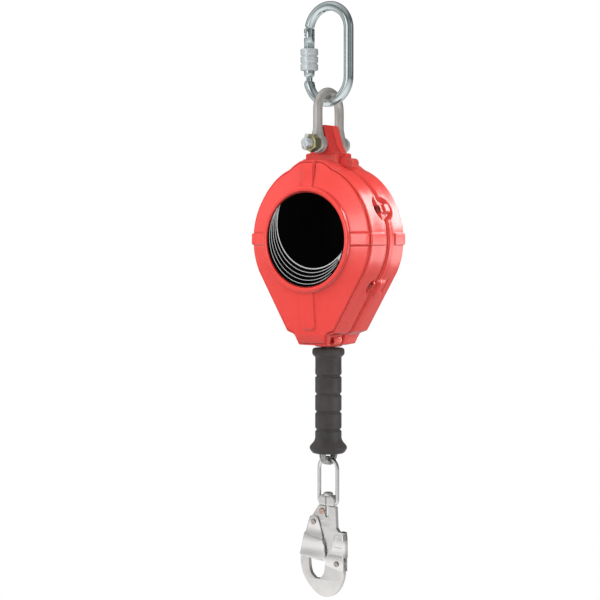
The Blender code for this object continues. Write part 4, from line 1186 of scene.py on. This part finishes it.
def make_gate():
    top, radius = lo_hi("carabiner_gate")[1][2], 5.5
    profile = [(0, top), (radius - 0.9, top), (radius - 0.4, top - 0.2), (radius, top - 0.9),
               (radius, -31.0)]
    profile += thread(radius, -31.0, -37.2, pitch=0.9, depth=0.35)    # the sleeve runs up it
    profile += [(radius, -62.0), (radius - 0.2, -64.5), (radius - 0.9, -66.0),
                (radius - 2.4, -66.9), (0, -67.2)]
    gate = lathe("carabiner_gate_rod", profile, ZINC, (GATE_X, 0, 0), "Z", 48)
    tongue = [(-27.5, -64.0), (-27.5, -74.0), (-26.0, -75.5), (-23.2, -75.5), (-21.7, -74.0),
              (-21.7, -64.0)]
    tongue = fillet(tongue, [0, 0.8, 0.8, 0.8, 0.8, 0], 4)
    combine(gate, [plate("tool", tongue, -1.7, 1.7, bevel=0.3)], "UNION")
    notch = fillet(rectangle(-33, -26.0, -24.3, -21.2), [0, 1.2, 1.2, 0], 4)
    combine(gate, [block_tool(rectangle(-33, -28.4, -17, -10), -2.1, 2.1),
                   block_tool(notch, -7, 7), gate_bore(1.95)])
    register(gate, "gate", "zinc", "carabiner_gate")


def make_sleeve():
    """Knurled sleeve: three bands with two grooves."""
    low, high = SLEEVE_LO[2], SLEEVE_HI[2]
    outer = (SLEEVE_HI[0] - SLEEVE_LO[0]) / 2
    bands, groove = 3, 1.3
    band = (high - low - 2 * groove) / bands
    profile = []
    for i in range(bands):
        top = high - i * (band + groove)
        foot = top - band
        profile += [(outer - 0.9, top), (outer - 0.45, top - 0.15), (outer - 0.12, top - 0.55)]
        profile += [(outer, height) for height in np.linspace(top - 1.0, foot + 1.0, 10)]
        profile += [(outer - 0.12, foot + 0.55), (outer - 0.45, foot + 0.15), (outer - 0.9, foot)]
        if i < bands - 1:
            profile += [(outer - 1.35, foot - 0.15), (outer - 1.35, foot - 1.15)]
    profile += [(6.6, low), (6.0, low + 0.6), (6.0, high - 0.6), (6.6, high)]

    def knurl(radius, height, turn):
        if radius < outer - 0.2:
            return radius
        teeth = np.cos(turn * 54)
        return radius - 0.16 + 0.16 * teeth * np.cos(height * 4.1 + 0.6 * teeth)

    sleeve = lathe("screw_sleeve_knurled", profile, SLEEVE_ZINC, (GATE_X, 0, 0), "Z", 324,
                   ring=True, wobble=knurl, sharp=55.0)
    register(sleeve, "sleeve", "zinc", "screw_sleeve")


make_carabiner()
make_gate()
make_sleeve()

# ================================================================ rope, grip, eye
ROPE_LO, ROPE_HI = lo_hi("wire_rope")
GRIP_TOP, GRIP_FOOT = GRIP_HI[2], GRIP_LO[2]
# top of the grip: (radius, drop below its top)
GRIP_HEAD = [(12.9, 0), (15.0, 0.15), (16.3, 1.2), (16.75, 3.4), (16.75, 5.4), (16.2, 7.0),
             (14.6, 8.6), (13.8, 9.6), (13.62, 12.0), (13.6, 20.0)]
GRIP_GROOVES = (-376.0, -395.0, -413.5, -432.0)
# one groove round the grip: (radius, height over its middle)
GRIP_GROOVE = [(13.72, 6.0), (13.7, 2.6), (13.35, 1.7), (12.55, 0.8), (12.3, 0.1), (12.55, -0.7),
               (13.4, -1.3), (13.72, -2.2), (13.72, -6.0)]
# flared foot and inside of the grip: (radius, z)
GRIP_FLARE = [(13.75, -440.2), (14.2, -442.4), (15.6, -445.0), (17.6, -447.2), (18.9, -448.9),
              (19.35, -450.4), (19.2, -451.8), (18.3, -453.6), (16.9, GRIP_FOOT + 0.6),
              (16.0, GRIP_FOOT), (15.2, GRIP_FOOT + 0.3), (14.7, GRIP_FOOT + 1.4)]
GRIP_INSIDE = [(14.6, -446.0), (13.4, -443.2), (8.0, -441.4), (6.0, -440.4), (5.9, -406.2),
               (3.1, -403.2), (3.0, GRIP_TOP - 0.8), (3.6, GRIP_TOP - 0.2), (4.6, GRIP_TOP),
               (10.6, GRIP_TOP), (11.2, GRIP_TOP - 0.35), (12.3, GRIP_TOP - 0.35)]
# deep-grooved ring of the thimble: (radius, x)
THIMBLE_SECTION = [
    (12.0, 3.3), (12.15, 3.0), (11.9, 2.55), (10.0, 2.45), (8.9, 2.1), (8.45, 1.2), (8.35, 0.0),
    (8.45, -1.2), (8.9, -2.1), (10.0, -2.45), (11.9, -2.55), (12.15, -3.0), (12.0, -3.3),
    (10.0, -3.35), (8.6, -3.15), (7.8, -2.2), (7.45, -1.0), (7.4, 0.0), (7.45, 1.0), (7.8, 2.2),
    (8.6, 3.15), (10.0, 3.35)]


def make_line():
    line = rope("wire_rope_laid", [(0, 0, ROPE_LO[2]), (0, 0, ROPE_HI[2])], radius=2.4,
                pitch=24.0, count=10, step=0.8)
    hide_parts("wire_rope")
    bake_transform(line)


def make_grip():
    outer = [(radius, GRIP_TOP - drop) for radius, drop in GRIP_HEAD]
    for groove_z in GRIP_GROOVES:
        outer += [(radius, groove_z + height) for radius, height in GRIP_GROOVE]
    profile = spline(outer + GRIP_FLARE, False, 4).tolist() + GRIP_INSIDE

    def facets(radius, height, turn):
        """Slightly eight-sided outside with two fine flash lines."""
        if radius < 12.0:
            return radius
        flash = 0.10 * np.exp(-((np.sin(turn - 0.9) / 0.03) ** 2))
        return radius + 0.05 * np.cos(8 * turn) + flash

    grip = lathe("rubber_hand_grip", profile, RUBBER, count=144, ring=True, wobble=facets,
                 sharp=70.0)
    register(grip, "lifeline", "grip", "rubber_grip")


def make_rope_end():
    """Ferrule, thimble and the rope eye laid round it."""
    profile = [(5.1, -407.5), (5.5, -408.0), (5.5, -439.5), (5.1, -440.0), (2.75, -440.0),
               (2.75, -407.5)]
    ferrule = lathe("swaged_ferrule", profile, STEEL, count=48, ring=True)
    register(ferrule, "lifeline", "machined", "ferrule")
    thimble = lathe("thimble_eye", THIMBLE_SECTION, THIMBLE, (0, 0, EYE_Z), "X", 84, ring=True,
                    sharp=60)
    register(thimble, "lifeline", "stamped_steel", "thimble")
    path = [(0, -2.2, -440.6), (0, -2.9, -443.6)]
    path += [(0, y, z) for y, z in arc(0, EYE_Z, 10.5, 120, 420, 60)]
    path += [(0, 2.9, -443.6), (0, 2.2, -440.6)]
    eye = rope("rope_eye_laid", spline(path, False, 2), radius=1.9, pitch=17.0, count=8, step=0.9)
    register(eye, "lifeline", "rope", "rope_eye")


make_line()
make_grip()
make_rope_end()

# ================================================================ swivel link
HUB_LOW, HUB_HIGH = -511.0, -501.0
BAIL_R = 2.0
BAIL_HALF = 11.5                # half width to the wire's centre line


def make_link():
    top_z = lo_hi("swivel_link")[1][2] - BAIL_R - BAIL_HALF
    low_z, corner = HUB_LOW + 2.1, 4.0
    path = np.vstack([arc(0, top_z, BAIL_HALF, 180, 0, 44),
                      arc(BAIL_HALF - corner, low_z + corner, corner, 0, -90, 8),
                      arc(-BAIL_HALF + corner, low_z + corner, corner, -90, -180, 8)])
    path = resample(np.insert(path, 1, 0, axis=1), step=0.8)
    link = tube("swivel_bail", path, BAIL_R, STAMPED, 28, closed=True)
    # hub: a saddle on the lower bar, with a slit down its front and back
    hub = [(-9.6, HUB_LOW), (9.6, HUB_LOW), (9.8, HUB_HIGH - 1.6), (6.6, HUB_HIGH + 0.9),
           (3.8, HUB_HIGH + 0.4), (-3.8, HUB_HIGH + 0.4), (-6.6, HUB_HIGH + 0.9),
           (-9.8, HUB_HIGH - 1.6)]
    hub = fillet(hub, [1.6, 1.6, 2.6, 1.6, 0.8, 0.8, 1.6, 2.6], 7)
    combine(link, [plate("tool", hub, -4.6, 4.6, bevel=1.6, steps=5)], "UNION")
    combine(link, [rod_tool(3.35, -490, -520, count=36),
                   block_tool(rectangle(-0.75, HUB_LOW - 2, 0.75, HUB_HIGH + 3), -6, 6)])
    register(link, "link", "stamped_steel", "swivel_link")


make_link()

# ================================================================ hook
HOOK_HALF = 2.5                 # half the thickness of the plate
RIVET_HOLE_R = 2.2
# outline of the hook plate as (x, z), clockwise from its top left corner to the gate ear
HOOK = [(-10.8, -511.7), (10.8, -511.7), (11.9, -534.0), (15.3, -538.0), (16.6, -556.0),
        (20.2, -571.0), (21.3, -580.0), (19.8, -588.0), (15.2, -596.4), (6.4, -603.0),
        (-3.4, -605.2), (-11.0, -603.6), (-21.4, -597.8), (-29.6, -589.0), (-33.5, -579.0),
        (-34.3, -568.7), (-32.0, -559.5), (-28.6, -554.0), (-25.0, -554.0), (-23.6, -560.0),
        (-23.2, -572.0), (-21.0, -583.6), (-15.5, -589.0), (-9.5, -589.0), (-4.6, -583.4),
        (-2.8, -573.0), (-3.4, -557.0), (-5.0, -542.0), (-9.0, -537.6)]
HOOK_CORNERS = {0, 1, 2, 3, 17, 18, 22, 23}


def rivet_hole(place):
    return circle(place[0], place[2], RIVET_HOLE_R, 32)


def make_stud():
    profile = [(0, -497.2), (2.2, -497.2), (3.6, -497.5), (4.6, -498.1), (5.0, -499.0),
               (5.0, -500.2), (4.7, -500.6), (3.05, -500.6), (3.05, -511.3), (2.0, -511.5),
               (2.0, -522.4), (1.5, -523.0), (0, -523.0)]
    stud = lathe("swivel_stud_turned", profile, STAMPED, count=40)
    register(stud, "hook", "stamped_steel", "swivel_stud")


def make_hook_plate():
    pivot_x, _, pivot_z = HOOK_GATE_PIVOT
    ear = []
    for angle in (-60, -90, -120, -150, -180, -210, -235):
        turn = math.radians(angle)
        ear.append((pivot_x + 6.4 * math.cos(turn), pivot_z + 6.4 * math.sin(turn)))
    # the bottom of the bow is drawn down a little
    points = [(x, z - 2.3 * float(ease((-592.0 - z) / 12.0))) for x, z in HOOK + ear]
    corners = HOOK_CORNERS | {len(HOOK) - 1, len(HOOK), len(points) - 1}
    loop = resample(spline(points, True, 5, sharp=corners), step=1.0)
    holes = [rivet_hole(place) for place in (HOOK_GATE_PIVOT, LEVER_PIVOT, BODY_RIVET)]
    hook = plate("hook_plate_stamped", loop, -HOOK_HALF, HOOK_HALF, STAMPED, holes, bevel=0.75,
                 steps=4)
    slot = fillet(rectangle(-2.3, -523.4, 2.3, -505), [1.4, 1.4, 0, 0])
    combine(hook, [block_tool(slot, -6, 6)])
    register(hook, "hook", "stamped_steel", "hook_plate")


def hook_rivet(name, place, cap, flare, material, slot):
    """Rivet along Y. cap is |Y| under its heads; flare widens their rims."""
    head = [(0.0, cap + 0.55), (0.75, cap + 0.6), (1.25, cap + 1.0), (1.8, cap + 1.1),
            (2.5, cap + 0.9), (3.0 * flare, cap + 0.4), (3.1 * flare, cap), (1.9, cap)]
    profile = head + [(radius, -height) for radius, height in head[::-1]]
    rivet = lathe(name + "_headed", profile, material, (place[0], 0, place[2]), "Y", 40)
    register(rivet, "hook", slot, name)


make_stud()
make_hook_plate()
hook_rivet("hook_gate_rivet", HOOK_GATE_PIVOT, 4.4, 1.0, RIVET, "stamped_steel")
hook_rivet("lever_rivet", LEVER_PIVOT, 4.4, 1.0, RIVET, "stamped_steel")
hook_rivet("body_rivet", BODY_RIVET, 2.8, 1.15, COPPER, "copper")

# ================================================================ folded gate and lever
SHEET = 1.2
FOLD_HALF, FOLD_R = 4.0, 3.0    # outer half width and outer bend radius


def channel(name, fold, direction, inset, material=None):
    """Solid U-section whose closed side follows the fold line, set in by inset all round.

    direction is the sign of X from the fold line into the section.
    """
    half, radius = FOLD_HALF - inset, FOLD_R - inset
    rows = []
    for x, z in resample(fold, step=1.0, closed=False):
        x = x + direction * inset
        near = [(x + direction * (radius - radius * math.sin(a)),
                 half - radius + radius * math.cos(a)) for a in np.linspace(0, math.pi / 2, 7)]
        far = x + direction * 60.0
        section = [(far, -half)] + [(px, -y) for px, y in near] + near[::-1] + [(far, half)]
        rows.append([(px, y, z) for px, y in section])
    ids = number_rows(rows)
    faces = grid_faces(ids) + [tuple(ids[0]), tuple(reversed(ids[-1]))]
    return new_mesh(name, np.vstack(rows), faces, material)


def folded(name, outline, place, fold, direction):
    """Folded sheet piece before hollowing, trimmed to its outline with a rivet hole."""
    body = channel(name, fold, direction, 0.0, BENT)
    trim = plate("tool", resample(outline, step=0.9), -9, 9, holes=[rivet_hole(place)], bevel=0)
    return combine(body, [trim], "INTERSECT")


def make_hook_gate():
    """Gate folded along its left side, with the lower part of its cheeks set outwards."""
    outline = [(-10.4, -526.5), (-7.6, -534.5), (-5.0, -545.0), (-4.3, -556.0), (-6.6, -566.5),
               (-9.0, -566.8), (-26.0, -565.4), (-33.4, -564.6), (-31.2, -556.0),
               (-27.6, -541.0), (-24.8, -532.0), (-22.4, -525.4), (-17.6, -523.0),
               (-12.6, -523.6)]
    fold = [(-21.6, -520.0), (-22.4, -525.4), (-24.8, -532.0), (-27.6, -541.0),
            (-31.2, -556.0), (-33.4, -564.6), (-34.2, -568.0)]
    wide = [(-27.6, -541.0), (-4.0, -546.6), (-1.8, -552.0), (-0.8, -560.0), (-1.6, -569.6),
            (-12.0, -569.2), (-26.0, -567.4), (-33.8, -566.2), (-31.2, -556.0)]
    wide = fillet(wide, [1.6, 1.8, 4.0, 4.0, 1.0, 6.0, 6.0, 1.2, 6.0], 5)
    inside = [(3.0, -552.6), (3.0, -580.0), (-42.0, -580.0), (-42.0, -549.7), (-28.3, -549.7),
              (-27.2, -545.3)]
    outline = spline(outline, True, 5, sharp={3, 4, 5, 7})
    gate = folded("hook_gate_folded", outline, HOOK_GATE_PIVOT, fold, 1)
    combine(gate, [plate("tool", wide, -5.5, 5.5, bevel=1.4, steps=5)], "UNION")
    combine(gate, [channel("tool", fold, 1, SHEET)])
    combine(gate, [block_tool(inside, -4.3, 4.3)])
    register(gate, "hook_gate", "stamped_steel", "hook_gate")


def make_lever():
    """Lever folded along its right side, with two shallow pressed areas on each cheek."""
    outline = [(15.8, -537.2), (22.6, -537.6), (23.4, -545.0), (23.8, -577.6), (22.0, -578.4),
               (-1.2, -573.4), (-1.4, -566.0), (7.5, -556.0), (9.0, -546.0), (11.0, -540.0)]
    fold = [(22.3, -534.0), (22.6, -537.6), (23.4, -545.0), (23.8, -577.6), (23.8, -582.0)]
    upper = [(11.6, -541.6), (20.2, -541.6), (20.4, -553.8), (10.2, -553.6)]
    pressed = [fillet(upper, 1.2, 5), fillet(rectangle(-4.0, -559.4, 20.6, -563.2), 1.6)]
    outline = spline(outline, True, 5, sharp={0, 1, 3, 4, 5, 6})
    lever = folded("lock_lever_folded", outline, LEVER_PIVOT, fold, -1)
    combine(lever, [channel("tool", fold, -1, SHEET)])
    tools = [block_tool(rectangle(21.6, -563.5, 30.0, -590.0), -5.0, 5.0)]
    for area in pressed:
        tools += [plate("tool", area, s * 3.60, s * 7.0, bevel=0.35) for s in (1, -1)]
    combine(lever, tools)
    register(lever, "lever", "stamped_steel", "lock_lever")


make_hook_gate()
make_lever()

# ================================================================ the pieces inside, carried over
INSIDE = {
    STEEL: ("lug_block", "front_frame_plate", "rear_frame_plate", "frame_bolt_left",
            "frame_bolt_right", "main_shaft", "shaft_nut_front", "shaft_nut_rear",
            "ratchet_ring", "brake_pressure_ring", "brake_bolt_1", "brake_bolt_2",
            "brake_bolt_3", "spring_cover", "pawl_a", "pawl_b", "pawl_pin_a", "pawl_pin_b"),
    LINING: ("brake_lining_front", "brake_lining_rear"),
    ALLOY: ("drum",),
    SPRING: ("power_spring",),
    BRONZE: ("drum_bush_front", "drum_bush_rear"),
    ROPE: ("wound_cable", "cable_lead"),
}
for material, names in INSIDE.items():
    for name in names:
        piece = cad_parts[name]
        if not piece.material_slots:
            piece.data.materials.append(material)
        for slot in piece.material_slots:
            slot.material = material

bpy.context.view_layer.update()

# ================================================================ stage
scene.view_settings.view_transform = "Standard"
WHITE = (1, 1, 1)


def floor_material():
    """White to the camera; in reflections a card that is bright in front and dark behind."""
    material, shader = new_material("pale_floor")
    nodes = material.node_tree.nodes
    nodes.remove(nodes["Principled BSDF"])
    place = shader.add("TexCoord", output="Object")
    depth = shader.add("SeparateXYZ", {0: place}, "Y")
    distance = shader.add("VectorMath", {0: place}, "Value", operation="LENGTH")
    front = shader.remap(depth, to=(0.68, 0.36), span=(-0.7, 1.0))
    near = shader.remap(distance, to=(1.28, 0.66), span=(0.9, 4.0))
    level = shader.math("ADD", shader.math("MULTIPLY", front, near), 0.12)
    cloud = shader.mix(shader.noise(scale=3.0, detail=3.0), (0.97, 0.96, 0.95), WHITE)
    seen = shader.add("Emission", {"Color": WHITE, "Strength": 1.0})
    card = shader.add("Emission", {"Color": cloud, "Strength": level})
    dim = shader.add("Emission", {"Color": (1, 0.99, 0.98), "Strength": 0.40})
    camera_ray, mirror_ray = shader.rays()
    unseen = shader.switch(mirror_ray, dim, card)
    shader.fill(nodes["Material Output"], {"Surface": shader.switch(camera_ray, unseen, seen)})
    return material


bpy.ops.mesh.primitive_plane_add(size=24.0, location=(0, 0, -1.02))
floor = bpy.context.object
floor.name = "floor"
floor.data.materials.append(floor_material())


# ================================================================ world
def direction(azimuth, elevation):
    """Unit vector; azimuth 0 is in front of the casing, 90 to its right."""
    a, e = math.radians(azimuth), math.radians(elevation)
    return math.sin(a) * math.cos(e), -math.cos(a) * math.cos(e), math.sin(e)


# round soft patches seen in reflections: azimuth, elevation, half angle, softness, level
MIRROR_CARDS = [
    (-8, 6, 17, 6, 1.10), (-64, 4, 26, 8, 0.40), (-30, -45, 30, 20, 0.25), (62, 10, 24, 14, 0.16),
    (0, 85, 34, 20, 0.28), (-60, 50, 26, 16, 0.30), (113, 14, 10, 4, 0.50)]
MIRROR_BASE = 0.11
SKY_LEVEL, SKY_RISE = 0.74, 0.14      # diffuse light at the horizon, and its gain to the zenith


def make_world():
    world = bpy.data.worlds.new("studio")
    scene.world = world
    world.use_nodes = True
    shader = Shader(world.node_tree, textured=False)
    place = shader.add("TexCoord", output="Generated")
    height = shader.add("SeparateXYZ", {0: place}, "Z")
    total = None
    for azimuth, elevation, half, soft, level in MIRROR_CARDS:
        facing = shader.add("VectorMath", {0: place, 1: direction(azimuth, elevation)}, "Value",
                            operation="DOT_PRODUCT")
        patch = shader.add("MapRange", {
            "Value": facing, "From Min": math.cos(math.radians(half + soft)),
            "From Max": math.cos(math.radians(half - soft))}, interpolation_type="SMOOTHSTEP")
        patch = shader.math("MULTIPLY", patch, level)
        total = patch if total is None else shader.math("ADD", total, patch)
    total = shader.math("ADD", total, MIRROR_BASE)
    mirror = shader.add("Background", {"Color": (0.985, 1.0, 1.0), "Strength": total})
    sky = world.node_tree.nodes["Background"]
    rise = shader.math("MULTIPLY", height, SKY_RISE)
    shader.fill(sky, {"Color": (1.0, 0.99, 0.98), "Strength": shader.math("ADD", rise, SKY_LEVEL)})
    white = shader.add("Background", {"Color": WHITE, "Strength": 1.0})
    camera_ray, mirror_ray = shader.rays()
    unseen = shader.switch(mirror_ray, sky.outputs[0], mirror)
    shader.fill(world.node_tree.nodes["World Output"],
                {"Surface": shader.switch(camera_ray, unseen, white)})


make_world()

# ================================================================ lights
AIM = Vector((0, 0, -0.27))


def softbox(name, azimuth, elevation, distance, width, height, radiance, mirrored=True,
            only=None):
    """Rectangular soft light, in metres, turned to AIM. only limits what it lights."""
    towards = Vector(direction(azimuth, elevation))
    light = bpy.data.lights.new(name, "AREA")
    light.shape, light.size, light.size_y = "RECTANGLE", width, height
    light.energy = radiance * math.pi * width * height
    lamp = bpy.data.objects.new(name, light)
    scene.collection.objects.link(lamp)
    lamp.location = AIM + towards * distance
    lamp.rotation_euler = towards.to_track_quat("Z", "Y").to_euler()
    lamp.visible_camera = False
    lamp.visible_glossy = mirrored
    if only is not None:
        lamp.light_linking.receiver_collection = only


def light_group(name, *object_names):
    group = bpy.data.collections.new(name)
    for object_name in object_names:
        group.objects.link(bpy.data.objects[object_name])
    return group


for name in ("casing_front", "casing_rear", "casing_lug_front", "casing_lug_rear"):
    bpy.data.objects[name].visible_glossy = False      # no red streaks in the polished steel
casing_only = light_group("casing_only", "casing_front", "casing_rear")
softbox("front", azimuth=-4, elevation=5, distance=1.7, width=0.34, height=0.46, radiance=9.5,
        only=casing_only)
softbox("back_right", azimuth=153, elevation=24, distance=1.7, width=0.62, height=0.86,
        radiance=10.0, only=casing_only)
softbox("back_right_low", azimuth=145, elevation=-8, distance=1.8, width=0.9, height=0.75,
        radiance=3.4, only=casing_only)
softbox("key", azimuth=-42, elevation=32, distance=2.2, width=1.9, height=1.9, radiance=2.0,
        mirrored=False)
softbox("right_fill", azimuth=66, elevation=18, distance=2.2, width=1.6, height=1.6,
        radiance=1.6, mirrored=False)
softbox("grip_right", azimuth=104, elevation=-4, distance=1.8, width=0.30, height=0.9,
        radiance=6.5, only=light_group("grip_only", "rubber_hand_grip"))
softbox("left", azimuth=-86, elevation=12, distance=1.8, width=0.30, height=1.1, radiance=3.5,
        only=casing_only)

# ================================================================ camera
TARGET = Vector((-0.02356, -0.01767, -0.2974))
CAMERA_DISTANCE = 1.5           # level distance from the target
CAMERA_Z = -0.235
FIELD_OF_VIEW = 23.37           # degrees across the sensor
SENSOR = 36.0

camera_data = bpy.data.cameras.new("camera")
camera = bpy.data.objects.new("camera", camera_data)
scene.collection.objects.link(camera)
camera.location = Vector((TARGET.x + CAMERA_DISTANCE * 0.6, TARGET.y - CAMERA_DISTANCE * 0.8,
                          CAMERA_Z))
camera.rotation_euler = (TARGET - camera.location).to_track_quat("-Z", "Y").to_euler()
camera_data.sensor_width = SENSOR
camera_data.lens = SENSOR / 2 / math.tan(math.radians(FIELD_OF_VIEW / 2))
camera_data.clip_start, camera_data.clip_end = 0.05, 50.0
scene.camera = camera
